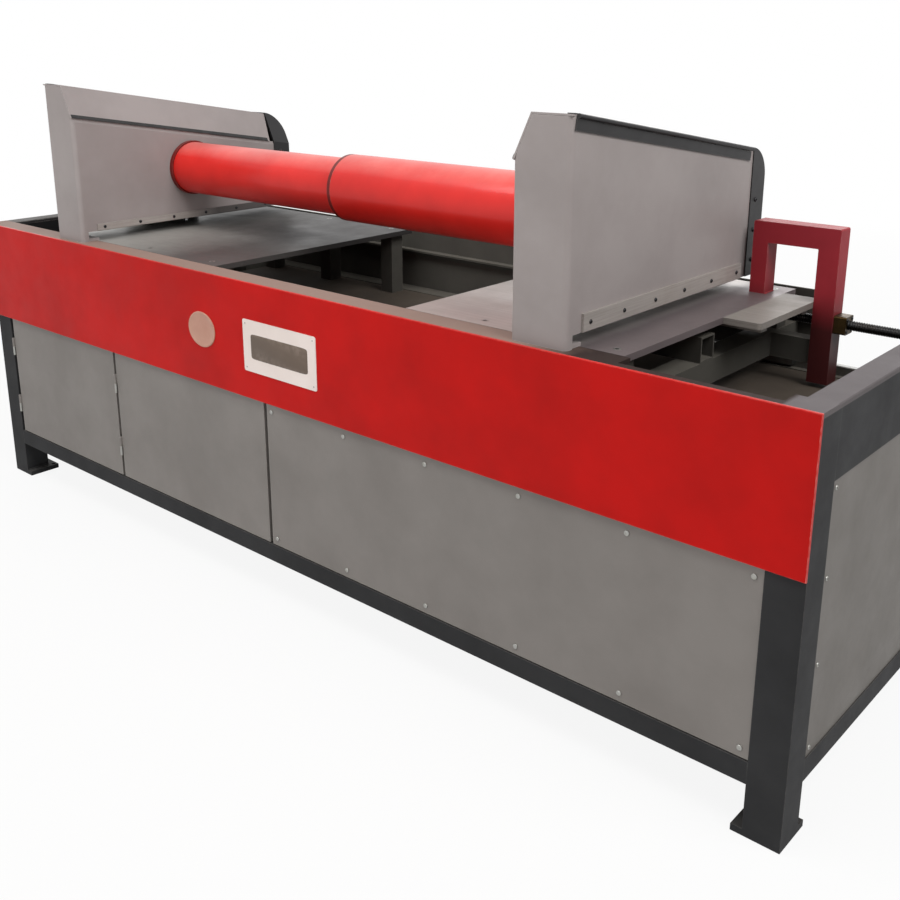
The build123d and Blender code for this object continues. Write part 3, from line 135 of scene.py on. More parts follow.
def lay_over(
    tree: NodeTree, value: Node, span: Pair, under: str | Node, over: str, share: float = 1.0,
) -> Node:
    """Lays a colour over another one wherever a value, such as a noise, rises through a span.

    Args:
        tree: the tree that gets the nodes.
        value: the node that gives the value.
        span: the values at which the colour starts and is in full.
        under: colour code of the tone below, or the node that gives it.
        over: colour code of the tone on top.
        share: how much of the tone below is covered at most.

    Returns:
        The node with the mixed colour.
    """
    amount = add_node(tree, "MapRange", {
        "Value": value, "From Min": span[0], "From Max": span[1], "To Max": share,
    })
    below = linear(under) if isinstance(under, str) else under
    return add_node(tree, "Mix", {0: amount, 6: below, 7: linear(over)}, data_type="RGBA")


def polish(tree: NodeTree, cloud: Node, gloss: Pair, grain: Node, relief: Pair) -> dict[str, Node]:
    """The last step of each finish: a gloss that changes with a slow noise, and fine relief.

    Args:
        tree: the tree that gets the nodes.
        cloud: the slow noise.
        gloss: roughness where that noise is low and where it is high.
        grain: the fine pattern.
        relief: strength of the relief, and its height in millimetres.

    Returns:
        The two nodes, by the shader inputs they belong to.
    """
    sheen = add_node(tree, "MapRange", {
        "Value": cloud, "From Min": 0.3, "From Max": 0.7, "To Min": gloss[0], "To Max": gloss[1],
    })
    bump = add_node(tree, "Bump", {"Strength": relief[0], "Distance": relief[1] * MM, "Height": grain})
    return {"Roughness": sheen, "Normal": bump}


@dataclass(frozen=True)
class Finish(ABC):
    """What a surface is made of and how it was finished."""

    name: str
    slot: str
    colour: str
    made: ClassVar[dict[str, Material]] = {}

    @abstractmethod
    def wire(self, tree: NodeTree, coord: NodeSocket) -> dict[str, Any]:
        """Builds the finish's nodes and says what each input of the surface shader gets.

        Args:
            tree: the tree that gets the nodes.
            coord: the object coordinates.

        Returns:
            Nodes and numbers, by the inputs of the surface shader.
        """

    def material(self) -> Material:
        """Makes the material the first time and hands out the same one after that.

        Returns:
            The material.
        """
        if self.name not in Finish.made:
            new = bpy.data.materials.new(self.name)
            new.use_nodes = True
            tree = new.node_tree
            coord = add_node(tree, "TexCoord").outputs["Object"]
            feed(tree, tree.nodes["Principled BSDF"], self.wire(tree, coord))
            Finish.made[self.name] = new
        return Finish.made[self.name]


@dataclass(frozen=True)
class Fade:
    """A second colour that comes in along the machine: mostly painted shade and painted shadow, also primer
    where enamel is rubbed through, partly with a painted highlight.

    A slow noise makes its edge wander, so that it isn't a ruled line.
    """

    axis: Axis
    start_mm: float
    end_mm: float
    colour: str
    share: float = 0.85
    wander_mm: float = 30.0

    def over(self, tree: NodeTree, coord: NodeSocket, noise: Node, tone: Node) -> Node:
        """Lays the colour over a tone, from none at the start to its full share at the end.

        Args:
            tree: the tree that gets the nodes.
            coord: the object coordinates.
            noise: a slow noise round one half.
            tone: the colour below.

        Returns:
            The node with the mixed colour.
        """
        place = add_node(tree, "SeparateXYZ", {0: coord}).outputs[self.axis.value]
        wander = add_node(tree, "Math", {
            0: noise, 1: self.wander_mm * MM, 2: place,
        }, operation="MULTIPLY_ADD")
        middle = self.wander_mm / 2
        span = ((self.start_mm + middle) * MM, (self.end_mm + middle) * MM)
        return lay_over(tree, wander, span, tone, self.colour, self.share)


@dataclass(frozen=True)
class Enamel(Finish):
    """Sprayed enamel on sheet steel: slow clouds of tone, orange peel, chalky worn edges and dust on top; on
    the red fascia and tube the pale edges and top are also a painted highlight, and in the bed the dust is
    also painted fill light.

    The clouds are a hand's width or more across, the orange peel is drawn at several millimetres, coarser
    than the real 1 to 2 mm, so that it shows, and the worn line is as wide as a rounded sheet edge.
    """

    cloud: str
    worn_and_highlight: str
    roughness: float = 0.42
    coat: float = 0.0
    dust_and_highlight: float = 0.10
    wear: float = 0.6
    peel: float = 0.05
    cloud_mm: float = 240.0
    peel_mm: float = 7.0
    edge_mm: float = 3.0
    gleam: float = 0.35
    dust_and_highlight_colour: str = "#B9B2A8"
    fades: tuple[Fade, ...] = ()

    def wire(self, tree: NodeTree, coord: NodeSocket) -> dict[str, Any]:
        """Clouds, edge wear and dust give the colour, with pale edges and tops that on some finishes are
        partly painted highlight and painted fill light; a fine noise gives the peel.

        Args:
            tree: the tree that gets the nodes.
            coord: the object coordinates.

        Returns:
            Nodes and numbers, by the inputs of the surface shader.
        """
        clouds = add_node(tree, "TexNoise", {
            "Vector": coord, "Scale": MM_PER_M / self.cloud_mm, "Detail": 4.0, "Roughness": 0.6,
        })
        tone = lay_over(tree, clouds, (0.36, 0.66), self.colour, self.cloud)

        # Pale edges: rubbed paint, and on the red fascia and the top bar partly a painted highlight.
        rounded = add_node(tree, "Bevel", {"Radius": self.edge_mm * MM}, samples=4)
        normal = add_node(tree, "NewGeometry").outputs["Normal"]
        agreement = add_node(tree, "VectorMath", {0: rounded, 1: normal}, operation="DOT_PRODUCT")
        edge = add_node(tree, "MapRange", {
            "Value": agreement, "From Min": 0.985, "From Max": 0.86, "To Max": self.wear,
        })
        chips = add_node(tree, "TexNoise", {
            "Vector": coord, "Scale": MM_PER_M / (4 * self.edge_mm), "Detail": 3.0,
        })
        chipped = add_node(tree, "MapRange", {
            "Value": chips, "From Min": 0.40, "From Max": 0.60, "To Min": 0.25,
        })
        worn_and_highlight_share = add_node(tree, "Math", {0: edge, 1: chipped}, operation="MULTIPLY")
        worn_and_highlight = add_node(tree, "Mix", {0: worn_and_highlight_share, 6: tone, 7: linear(self.worn_and_highlight)}, data_type="RGBA")

        # Pale tops: dust; on the red tube mostly a painted highlight, on the bed's tubes and tray partly
        # painted fill light.
        facing = add_node(tree, "SeparateXYZ", {0: normal})
        upward = add_node(tree, "MapRange", {
            "Value": facing.outputs["Z"], "From Min": 0.55, "From Max": 1.0, "To Max": self.dust_and_highlight,
        })
        drift = add_node(tree, "TexNoise", {
            "Vector": coord, "Scale": MM_PER_M / (0.4 * self.cloud_mm), "Detail": 6.0, "Roughness": 0.65,
        })
        dust_and_highlight_share = add_node(tree, "Math", {0: upward, 1: drift}, operation="MULTIPLY")
        colour = add_node(tree, "Mix", {
            0: dust_and_highlight_share, 6: worn_and_highlight, 7: linear(self.dust_and_highlight_colour),
        }, data_type="RGBA")
        for fade in self.fades:
            colour = fade.over(tree, coord, drift, colour)

        peel = add_node(tree, "TexNoise", {
            "Vector": coord, "Scale": MM_PER_M / self.peel_mm, "Detail": 1.5,
        })
        gloss = (self.roughness - 0.06, self.roughness + 0.08)
        return {
            "Base Color": colour, "IOR": 1.5, "Specular IOR Level": self.gleam, "Coat Weight": self.coat,
            "Coat Roughness": 0.12, **polish(tree, drift, gloss, peel, (self.peel, 0.6)),
        }


@dataclass(frozen=True)
class MachinedSteel(Finish):
    """Bare steel with the lay of the tool: planing or grinding lines, slow stains and a dull metal gleam.

    The lay is a noise drawn out along the tool's way; its width is a few times the real line spacing of
    0.2 to 0.5 mm, so that it shows.
    """

    line: str
    stain: str
    lay_mm: Triple
    roughness: float = 0.36
    stain_share: float = 0.35
    stain_mm: float = 130.0
    relief: float = 0.12
    metallic: float = 1.0
    fades: tuple[Fade, ...] = ()

    def wire(self, tree: NodeTree, coord: NodeSocket) -> dict[str, Any]:
        """Drawn-out noise gives lines to colour and relief; a slow noise gives stains and gloss.

        Args:
            tree: the tree that gets the nodes.
            coord: the object coordinates.

        Returns:
            Nodes and numbers, by the inputs of the surface shader.
        """
        drawn = add_node(tree, "Mapping", {
            "Vector": coord, "Scale": tuple(MM_PER_M / length for length in self.lay_mm),
        })
        lines = add_node(tree, "TexNoise", {
            "Vector": drawn, "Scale": 1.0, "Detail": 3.0, "Roughness": 0.6,
        })
        tone = lay_over(tree, lines, (0.35, 0.65), self.colour, self.line)
        spots = add_node(tree, "TexNoise", {
            "Vector": coord, "Scale": MM_PER_M / self.stain_mm, "Detail": 5.0, "Roughness": 0.6,
        })
        colour = lay_over(tree, spots, (0.45, 0.72), tone, self.stain, self.stain_share)
        for fade in self.fades:
            colour = fade.over(tree, coord, spots, colour)
        gloss = (self.roughness - 0.06, self.roughness + 0.12)
        return {
            "Base Color": colour, "Metallic": self.metallic,
            **polish(tree, spots, gloss, lines, (self.relief, 0.3)),
        }


@dataclass(frozen=True)
class CastMetal(Finish):
    """Cast metal with a sandy skin: a grain of about 2 mm, darker hollows and a soft, uneven gleam."""

    hollow: str
    grain_mm: float = 2.2
    metallic: float = 1.0
    roughness: float = 0.5

    def wire(self, tree: NodeTree, coord: NodeSocket) -> dict[str, Any]:
        """A cell pattern at grain size gives pits; a slower noise breaks up colour and gloss.

        Args:
            tree: the tree that gets the nodes.
            coord: the object coordinates.

        Returns:
            Nodes and numbers, by the inputs of the surface shader.
        """
        grain = add_node(tree, "TexVoronoi", {"Vector": coord, "Scale": MM_PER_M / self.grain_mm})
        cloud = add_node(tree, "TexNoise", {
            "Vector": coord, "Scale": MM_PER_M / (18 * self.grain_mm), "Detail": 5.0,
        })
        gloss = (self.roughness - 0.08, self.roughness + 0.10)
        return {
            "Base Color": lay_over(tree, cloud, (0.35, 0.68), self.colour, self.hollow),
            "Metallic": self.metallic, **polish(tree, cloud, gloss, grain, (0.18, 0.4)),
        }


@dataclass(frozen=True)
class Moulding(Finish):
    """Moulded plastic or rubber: a fine spark-eroded texture, rubbed lighter patches and a soft gloss."""

    rubbed: str
    roughness: float = 0.45
    texture_mm: float = 1.2
    relief: float = 0.10
    patch_mm: float = 40.0

    def wire(self, tree: NodeTree, coord: NodeSocket) -> dict[str, Any]:
        """Fine noise for the mould texture, slow noise for the rubbed patches.

        Args:
            tree: the tree that gets the nodes.
            coord: the object coordinates.

        Returns:
            Nodes and numbers, by the inputs of the surface shader.
        """
        patches = add_node(tree, "TexNoise", {
            "Vector": coord, "Scale": MM_PER_M / self.patch_mm, "Detail": 4.0,
        })
        texture = add_node(tree, "TexNoise", {
            "Vector": coord, "Scale": MM_PER_M / self.texture_mm, "Detail": 2.0,
        })
        gloss = (self.roughness + 0.05, self.roughness - 0.08)
        return {
            "Base Color": lay_over(tree, patches, (0.42, 0.70), self.colour, self.rubbed), "IOR": 1.47,
            **polish(tree, patches, gloss, texture, (self.relief, 0.2)),
        }


# Deep red, even and smooth, with only a faint gleam; its pale edges are partly rubbed paint and partly a
# painted highlight.
RED_ENAMEL = Enamel(
    "Gloss red enamel on steel", "red_paint", "#B80B07", "#A60A06", "#D3948A", roughness=0.42, coat=0.02,
    dust_and_highlight=0.06, wear=0.75, gleam=0.10,
)
# The fascia's red painted brighter, as lit from above, and paled along the top by a pink dust colour that is
# mostly a painted highlight.
TUBE_ENAMEL = Enamel(
    "Gloss red enamel on steel tube", "red_paint", "#CB221C", "#BA1C17", "#C77B70", roughness=0.36, coat=0.20,
    dust_and_highlight=0.55, dust_and_highlight_colour="#E9ADA3", gleam=0.25,
)
# Nearly brown copy of the tube's red on the rings that close it off: painted shade where the tube meets the
# hoods.
DARK_RED_ENAMEL = Enamel(
    "Dark red enamel on turned steel", "red_paint", "#6E1512", "#5A1210", "#8A5A54", roughness=0.4,
    gleam=0.25,
)
# Warm mid grey with soft clouds, a broad dull sheen and paler edges.
PANEL_ENAMEL = Enamel(
    "Satin grey enamel on sheet steel", "panel_paint", "#7C7773", "#736E6A", "#9A938E", roughness=0.48,
    gleam=0.25,
)
# The front's grey painted darker and flatter on the end and rear sheets: painted shade, not another paint.
END_PANEL_ENAMEL = Enamel(
    "Satin grey enamel on the end and rear sheets", "panel_paint", "#6B6763", "#625E5A", "#8E8782",
    roughness=0.52, gleam=0.18,
)
# Paler, slightly rosy grey with a soft sheen; dust lightens what faces up.
HOOD_ENAMEL = Enamel(
    "Satin light grey enamel on sheet steel", "hood_paint", "#948C8A", "#8A8280", "#ADA6A3", roughness=0.46,
    dust_and_highlight=0.25, dust_and_highlight_colour="#B4ADA8", gleam=0.28,
)
# Charcoal that swallows most of the light, with a thin paler line at its corners.
FRAME_ENAMEL = Enamel(
    "Satin dark grey enamel on square tube", "frame_paint", "#323233", "#2A2A2B", "#575553", roughness=0.58,
    gleam=0.07,
)
# Frame tubes in the bed, painted a lighter grey than the frame, with pale dust on top: partly dust, partly
# painted fill light for the bed's shaded depth.
BED_ENAMEL = Enamel(
    "Dusty grey primer on square tube", "frame_paint", "#4D4B46", "#413F3B", "#6A6660", roughness=0.62,
    dust_and_highlight=0.35, dust_and_highlight_colour="#8A8378", gleam=0.07,
)
# Wine red bar, painted brown black below the table's level: painted shade where the post runs down into the
# recess.
CRIMSON_ENAMEL = Enamel(
    "Crimson enamel on welded bar", "red_paint", "#962A32", "#86252D", "#B87A76", roughness=0.46, dust_and_highlight=0.08,
    gleam=0.12, fades=(Fade(Axis.Z, 930.0, 830.0, "#1E1614"),),
)
# Dark bar with a pale rosy band along the front edge, partly rubbed primer and partly a painted highlight,
# and painted shade near the right end where it meets the recess.
STRIP_ENAMEL = Enamel(
    "Rubbed dark grey enamel on flat bar", "frame_paint", "#484747", "#3D3C3D", "#98928C", roughness=0.58,
    dust_and_highlight=0.22, wear=0.9, gleam=0.08, fades=(
        Fade(Axis.Y, -396.0, -400.0, "#8A746A", share=0.9, wander_mm=0.0),
        Fade(Axis.X, 800.0, 960.0, "#231B1A", share=0.95, wander_mm=120.0),
        Fade(Axis.X, 1392.0, 1400.0, "#585354", share=0.95, wander_mm=0.0),
    ),
)
# Soft black with a narrow sheen, so that caps and hinges read as dark lines.
BLACK_ENAMEL = Enamel(
    "Satin black enamel on steel", "black_paint", "#1F1E1F", "#171617", "#4C4947", roughness=0.44, gleam=0.28,
)
# Brown grey, far lighter than a black tray, and dusty: painted fill light in the bed's shaded depth.
TRAY_ENAMEL = Enamel(
    "Dull black enamel on the chip tray", "black_paint", "#47413B", "#3A342F", "#5C5650", roughness=0.65,
    dust_and_highlight=0.30, dust_and_highlight_colour="#6E6154", gleam=0.15,
)
# Cool blue grey over a coarse cast skin.
MOTOR_ENAMEL = Enamel(
    "Blue grey enamel on ribbed cast housing", "motor_paint", "#3A4E5C", "#324452", "#7B858B", roughness=0.4,
    peel=0.12, peel_mm=5.0,
)
# Clean warm white that stands out on the red.
PLATE_WHITE = Enamel(
    "Baked white enamel on aluminium", "plate_print", "#E2D6D0", "#D8CBC4", "#B8B0A8", roughness=0.40,
    dust_and_highlight=0.0,
)
# A flat brown field in the white plate, left blank.
PLATE_FIELD = Enamel(
    "Baked brown enamel on aluminium", "plate_print", "#5F5044", "#54463B", "#83746A", roughness=0.40,
    dust_and_highlight=0.0,
)
# Pale ivory that has browned unevenly, with a brassy rim.
BADGE_ENAMEL = Enamel(
    "Aged ivory enamel on pressed brass", "badge_enamel", "#B68B79", "#AB7D6B", "#8A6B46", roughness=0.38,
    dust_and_highlight=0.0, cloud_mm=90.0, edge_mm=2.0,
)
# Pale plate by the fixed head, with painted shade towards the opening and a painted shadow of the shaft's
# tube behind it.
LEFT_TABLE_STEEL = MachinedSteel(
    "Planed steel under a dull oil film", "table_steel", "#ABAAA5", "#9C9B96", "#837F79", (420.0, 3.0, 3.0),
    roughness=0.44, metallic=0.4, fades=(
        Fade(Axis.X, -860.0, -480.0, "#383534", share=0.9, wander_mm=80.0),
        Fade(Axis.Y, -90.0, 90.0, "#1E1A1A", share=0.86, wander_mm=80.0),
    ),
)
# Flat grey with faint lines and next to no reflection.
REST_STEEL = MachinedSteel(
    "Planed steel, dulled by boards", "table_steel", "#827C76", "#76706A", "#635D57", (420.0, 3.0, 3.0),
    roughness=0.55, metallic=0.2,
)
# Lighter plate with long streaks and soft reflections, painted darker outside the hood: painted shade of the
# hood.
RIGHT_TABLE_STEEL = MachinedSteel(
    "Planed steel, rubbed bright", "table_steel", "#B4ACA7", "#A59D98", "#8A817A", (420.0, 3.0, 3.0),
    roughness=0.42, metallic=0.5, fades=(Fade(Axis.X, 880.0, 930.0, "#665B5D", share=0.9),),
)
# Pale bar with fine lines along it and a dull gleam.
STRIP_STEEL = MachinedSteel(
    "Ground steel flat bar", "bright_steel", "#A9A29D", "#9A938E", "#857C72", (3.0, 160.0, 3.0),
    roughness=0.40, metallic=0.35,
)
# The same bar, painted black behind the shaft's tube: a painted shadow of the tube.
STRIP_STEEL_IN_PAINTED_SHADOW = replace(
    STRIP_STEEL, name="Ground steel flat bar under grime", fades=(Fade(Axis.Y, -60.0, 60.0, "#332E2E"),),
)
# Fine bright rings round a shaft, with sharp highlights.
TURNED_STEEL = MachinedSteel(
    "Turned steel along the bed", "bright_steel", "#AEAEAC", "#9A9A98", "#7D776E", (1.6, 140.0, 140.0),
    roughness=0.28, stain_mm=60.0,
)
# Cool grey bar with straight lines and one long highlight.
RAIL_STEEL = MachinedSteel(
    "Ground steel guide bar", "bright_steel", "#9C9D9C", "#8A8B8A", "#6E675F", (200.0, 2.0, 2.0),
    roughness=0.32,
)
# Nearly black thread whose crests catch thin lights.
DARK_SCREW_STEEL = MachinedSteel(
    "Oiled dark rolled thread", "bright_steel", "#323232", "#282829", "#3F362D", (2.0, 60.0, 60.0),
    roughness=0.34, stain_mm=40.0,
)
# Small pale heads with a faint yellow cast.
ZINC_STEEL = MachinedSteel(
    "Zinc plated steel fastener", "bright_steel", "#A6A6A2", "#979793", "#8A8474", (4.0, 4.0, 4.0),
    roughness=0.36, stain_mm=12.0, relief=0.05,
)
# Small dark heads with an oily gleam.
BLACK_OXIDE = MachinedSteel(
    "Black oxide steel fastener", "bright_steel", "#3B3B3D", "#303032", "#4A4540", (4.0, 4.0, 4.0),
    roughness=0.42, stain_mm=12.0, relief=0.05,
)
# The brightest metal on the machine: smooth and cool, with fine grinding lines.
KNIFE_STEEL = MachinedSteel(
    "Ground tool steel", "bright_steel", "#C2C3C4", "#B1B2B3", "#8E8A84", (2.0, 2.0, 60.0), roughness=0.24,
)
# Brown gold under dark oil.
BRONZE = MachinedSteel(
    "Oiled dark bronze", "bronze", "#4E3E26", "#43351F", "#241D15", (1.6, 60.0, 60.0), roughness=0.45,
    stain_mm=30.0, stain_share=0.7,
)
# Grainy grey metal with a broken sheen.
CAST_IRON = CastMetal("Machined grey cast iron", "cast_metal", "#62646A", "#4C4E52")
# Deep glossy black over a grainy casting.
WHEEL_IRON = CastMetal(
    "Black japanned cast iron", "cast_metal", "#2A2A2B", "#1E1E1F", metallic=0.0, roughness=0.36,
)
# Dead matt black with a woven roughness.
BELT_RUBBER = Moulding(
    "Fabric wrapped belt rubber", "belt_rubber", "#1C1C1C", "#2B2A29", roughness=0.8, relief=0.3,
)
# A thin matt black line between two grey sheets; along the hood lids it is painted shade that draws the
# shadow under the lid's skirt.
SEAL_AND_SHADE_LINE_RUBBER = Moulding("Black extruded seal rubber", "black_paint", "#1A1A1A", "#262525", roughness=0.7)
# Glossy black with rounded highlights.
BLACK_PLASTIC = Moulding("Black moulded phenolic", "black_plastic", "#1D1D1F", "#2A2A2C", roughness=0.35)
# Light grey with a fine mould texture and a soft gloss.
BOX_PLASTIC = Moulding("Grey moulded ABS", "box_plastic", "#A6A6A2", "#B2B1AC", roughness=0.48)
# Full glossy colours that read from across the room.
GREEN_PLASTIC = Moulding("Green moulded ABS", "green_button", "#1F8A43", "#2C9650", roughness=0.3)
RED_PLASTIC = Moulding("Red moulded ABS", "red_button", "#BE1C1C", "#C92A28", roughness=0.3)


# Surfaces worked out as arrays

def circle(radius: float, count: int = 24) -> np.ndarray:
    """Points (r cos t, r sin t) round a circle.

    Args:
        radius: radius of the circle.
        count: number of points.

    Returns:
        An array of count by 2.
    """
    turn = np.linspace(0.0, 2 * math.pi, count, endpoint=False)
    return radius * np.stack([np.cos(turn), np.sin(turn)], axis=-1)


def hexagon(flats: float, count: int = 24) -> np.ndarray:
    """Points round a hexagon: at the angle t the radius is (flats / 2) / cos(t from the nearest flat).

    Args:
        flats: width across flats.
        count: number of points, a multiple of 12 so that the corners are among them.

    Returns:
        An array of count by 2.
    """
    turn = np.linspace(0.0, 2 * math.pi, count, endpoint=False)
    off_flat = np.mod(turn + math.pi / 6, math.pi / 3) - math.pi / 6
    return circle(1.0, count) * (flats / 2 / np.cos(off_flat))[:, None]


def superellipse(half_a: float, half_b: float, power: float = 2.0, count: int = 48) -> np.ndarray:
    """Points of |x/a|^p + |y/b|^p = 1, as x = a sgn(cos t)|cos t|^(2/p) and y likewise with the sine.

    Args:
        half_a: half width.
        half_b: half height.
        power: 2 gives an ellipse, larger powers a rectangle with rounded corners.
        count: number of points.

    Returns:
        An array of count by 2.
    """
    turn = np.linspace(0.0, 2 * math.pi, count, endpoint=False) + math.pi / count
    unit = np.stack([np.cos(turn), np.sin(turn)], axis=-1)
    return np.array([half_a, half_b]) * np.sign(unit) * np.abs(unit) ** (2 / power)


@dataclass(frozen=True)
class Seat:
    """A place on a surface with the way in which a fitting stands out of it."""

    origin: Triple
    axis: Axis
    outward: int = 1

    def lift(self, flat: np.ndarray, rise: np.ndarray) -> np.ndarray:
        """Puts flat outlines at heights over the seat.

        Args:
            flat: outline points, (..., 2).
            rise: heights, (...).

        Returns:
            Points in the frame, (..., 3).
        """
        return np.insert(flat, self.axis.value, self.outward * rise, axis=-1) + np.array(self.origin)


@dataclass
class Skin:
    """A closed surface: a grid of points with columns that run round, capped or joined at its ends."""

    points: np.ndarray
    looped: bool = False

    def faces(self) -> list[list[int]]:
        """Quads between neighbouring rows and two end caps, turned so that they face outwards.

        Returns:
            Lists of point numbers.
        """
        rows, columns = self.points.shape[:2]
        index = np.arange(rows * columns).reshape(rows, columns)
        lower = index if self.looped else index[:-1]
        upper = np.roll(index, -1, axis=0) if self.looped else index[1:]
        quads = np.stack([lower, np.roll(lower, -1, 1), np.roll(upper, -1, 1), upper], axis=-1).reshape(-1, 4)
        flat = self.points.reshape(-1, 3)
        faces = quads.tolist()
        fans = [quads[:, [0, 1, 2]], quads[:, [0, 2, 3]]]
        if not self.looped:
            caps = [index[0][::-1], index[-1]]
            faces += [cap.tolist() for cap in caps]
            fans += [np.stack([np.full(columns - 2, cap[0]), cap[1:-1], cap[2:]], axis=-1) for cap in caps]
        a, b, c = (flat[np.concatenate(fans)[:, corner]] - flat.mean(axis=0) for corner in range(3))
        volume = np.einsum("ij,ij->i", a, np.cross(b, c)).sum()
        return faces if volume > 0 else [face[::-1] for face in faces]


def stack(
    seat: Seat, outlines: Sequence[np.ndarray], rises: Sequence[float], looped: bool = False,
) -> Skin:
    """Outlines piled up along a seat's axis: row i of the surface is outline i at rise i.

    Args:
        seat: where the pile stands.
        outlines: outlines with equal numbers of points.
        rises: height of each outline over the seat.
        looped: joins the last outline to the first, which makes a ring.

    Returns:
        The closed surface.
    """
    flat = np.stack(list(outlines))
    rise = np.broadcast_to(np.array(rises)[:, None], flat.shape[:2])
    return Skin(seat.lift(flat, rise), looped)


def bead(start: Triple, end: Triple, radius: float, pitch: float = 5.0 * MM) -> Skin:
    """A weld bead: a circle of radius r (1 + 0.12 sin(2 pi s / pitch)) along a line, thinned at its ends.

    Args:
        start: start of the line.
        end: end of the line.
        radius: mean radius of the bead.
        pitch: spacing of the ripples.

    Returns:
        The capped surface.
    """
    first, last = np.array(start), np.array(end)
    length = float(np.linalg.norm(last - first))
    along = np.linspace(0.0, 1.0, max(8, int(4 * length / pitch)))
    way = (last - first) / length
    across = np.cross(way, (0.0, 0.0, 1.0) if abs(way[2]) < 0.9 else (1.0, 0.0, 0.0))
    ends = np.clip(np.minimum(along, 1 - along) * length / radius + 0.35, 0.0, 1.0)
    size = radius * ends * (1 + 0.12 * np.sin(2 * math.pi * along * length / pitch))
    spread = circle(1.0, 10) @ np.array([across, np.cross(way, across)])
    return Skin((first + along[:, None] * (last - first))[:, None, :] + size[:, None, None] * spread)


def button_head(seat: Seat, radius: float, socket: bool = True) -> Skin:
    """A low domed screw head: circles piled to a dome, then a hexagon socket sunk in its top.

    Args:
        seat: where the head sits.
        radius: radius of the head.
        socket: False gives a plain rivet head.

    Returns:
        The capped surface.
    """
    shares = [(1.0, 0.0), (1.0, 0.18), (0.90, 0.38), (0.66, 0.55)]
    outlines = [circle(radius * share, 12) for share, _ in shares]
    rises = [radius * rise for _, rise in shares]
    if socket:
        outlines += [hexagon(0.9 * radius, 12), hexagon(0.86 * radius, 12)]
        rises += [0.56 * radius, 0.22 * radius]
    else:
        outlines.append(circle(0.3 * radius, 12))
        rises.append(0.62 * radius)
    return stack(seat, outlines, rises)


def spaced(low: float, high: float, inset: float, count: int = 2) -> np.ndarray:
    """Evenly spaced places between two ends, the outer ones an inset away from the ends."""
    return np.linspace(low + inset, high - inset, count)


def screw_heads(
    seat: Seat, firsts: Sequence[float], seconds: Sequence[float], radius: float, socket: bool = True,
) -> list[Skin]:
    """Button heads on a flat face, one wherever two sets of lines cross.

    Args:
        seat: a point of the face, from which the lines are counted.
        firsts: places along the first of the two axes in the face.
        seconds: places along the second.
        radius: radius of a head.
        socket: False gives plain rivet heads.

    Returns:
        The heads.
    """
    places = np.array([(first, second) for first in firsts for second in seconds])
    centres = seat.lift(places, np.zeros(len(places)))
    return [button_head(replace(seat, origin=tuple(centre)), radius, socket) for centre in centres]


def extent(node: str) -> tuple[np.ndarray, np.ndarray]:
    """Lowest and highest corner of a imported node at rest."""
    low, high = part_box(node)
    return np.array(low), np.array(high)


def make_piece(
    name: str, skins: Sequence[Skin], finish: Finish, body: str, sharp: float = 38.0,
) -> Object:
    """Joins surfaces to one piece that rides on a body.

    Args:
        name: name of the piece.
        skins: its surfaces.
        finish: its finish.
        body: the body it rides on.
        sharp: edges that turn by more degrees than this stay sharp.

    Returns:
        The new object, at the origin.
    """
    faces: list[list[int]] = []
    start = 0
    for skin in skins:
        faces += [[start + place for place in face] for face in skin.faces()]
        start += skin.points.shape[0] * skin.points.shape[1]
    points = np.concatenate([skin.points.reshape(-1, 3) for skin in skins])
    mesh = bpy.data.meshes.new(name)
    mesh.from_pydata(points.tolist(), [], faces)
    mesh.shade_smooth()
    mesh.set_sharp_from_angle(angle=math.radians(sharp))
    mesh.materials.append(finish.material())
    piece = bpy.data.objects.new(name, mesh)
    bpy.context.scene.collection.objects.link(piece)
    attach(piece, body)
    LOG.info("%s on %s: %d faces, %s", name, body, len(faces), finish.name)
    return piece


# Sub-assemblies

Coats = dict[str, Finish]


class SubAssembly(ABC):
    """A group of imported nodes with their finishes, and the small fittings that belong to it."""

    coats: Coats
    dressed: ClassVar[set[str]] = set()

    def dress(self) -> None:
        """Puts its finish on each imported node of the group."""
        for node, finish in self.coats.items():
            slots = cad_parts[node].data.materials
            slots.clear()
            slots.append(finish.material())
            SubAssembly.dressed.add(node)
            LOG.info("%s: %s", node, finish.name)

    @abstractmethod
    def build(self) -> None:
        """Makes the fittings."""


@dataclass
class FrameAndBed(SubAssembly):
    """Welded frame of dark tubes, bed, top bars with rubbed primer, painted highlight and painted shade, chip
    tray and ground guide bars.
    """

    coats: ClassVar[Coats] = {
        "frame_legs": FRAME_ENAMEL, "frame_rails": FRAME_ENAMEL, "bed_frame": BED_ENAMEL,
        "top_strips": STRIP_ENAMEL, "bed_tray": TRAY_ENAMEL, "guide_rails": RAIL_STEEL,
    }
    foot_t: float = 15.0 * MM
    rail_side: float = 60.0 * MM
    bead_r: float = 3.2 * MM
    bead_gap: float = 4.0 * MM

    def build(self) -> None:
        """Weld beads where the legs meet their foot plates and the lower rails."""
        low, high = extent("frame_legs")
        rail_z = float(extent("frame_rails")[0][2])
        beads = []
        for sx, x in ((1, high[0]), (-1, low[0])):
            for sy, y in ((1, high[1]), (-1, low[1])):
                inner_x, inner_y = x - sx * LEG_SIDE, y - sy * LEG_SIDE
                near_x, near_y = x - sx * self.bead_gap, y - sy * self.bead_gap
                rail_x, rail_y = x - sx * self.rail_side, y - sy * self.rail_side
                for z, far_x, far_y in ((self.foot_t, inner_x, inner_y), (rail_z, rail_x, rail_y)):
                    beads.append(bead((inner_x, near_y, z), (inner_x, far_y, z), self.bead_r))
                    beads.append(bead((near_x, inner_y, z), (far_x, inner_y, z), self.bead_r))
        make_piece("frame_weld_beads", beads, FRAME_ENAMEL, "base", BEAD_SHARP)


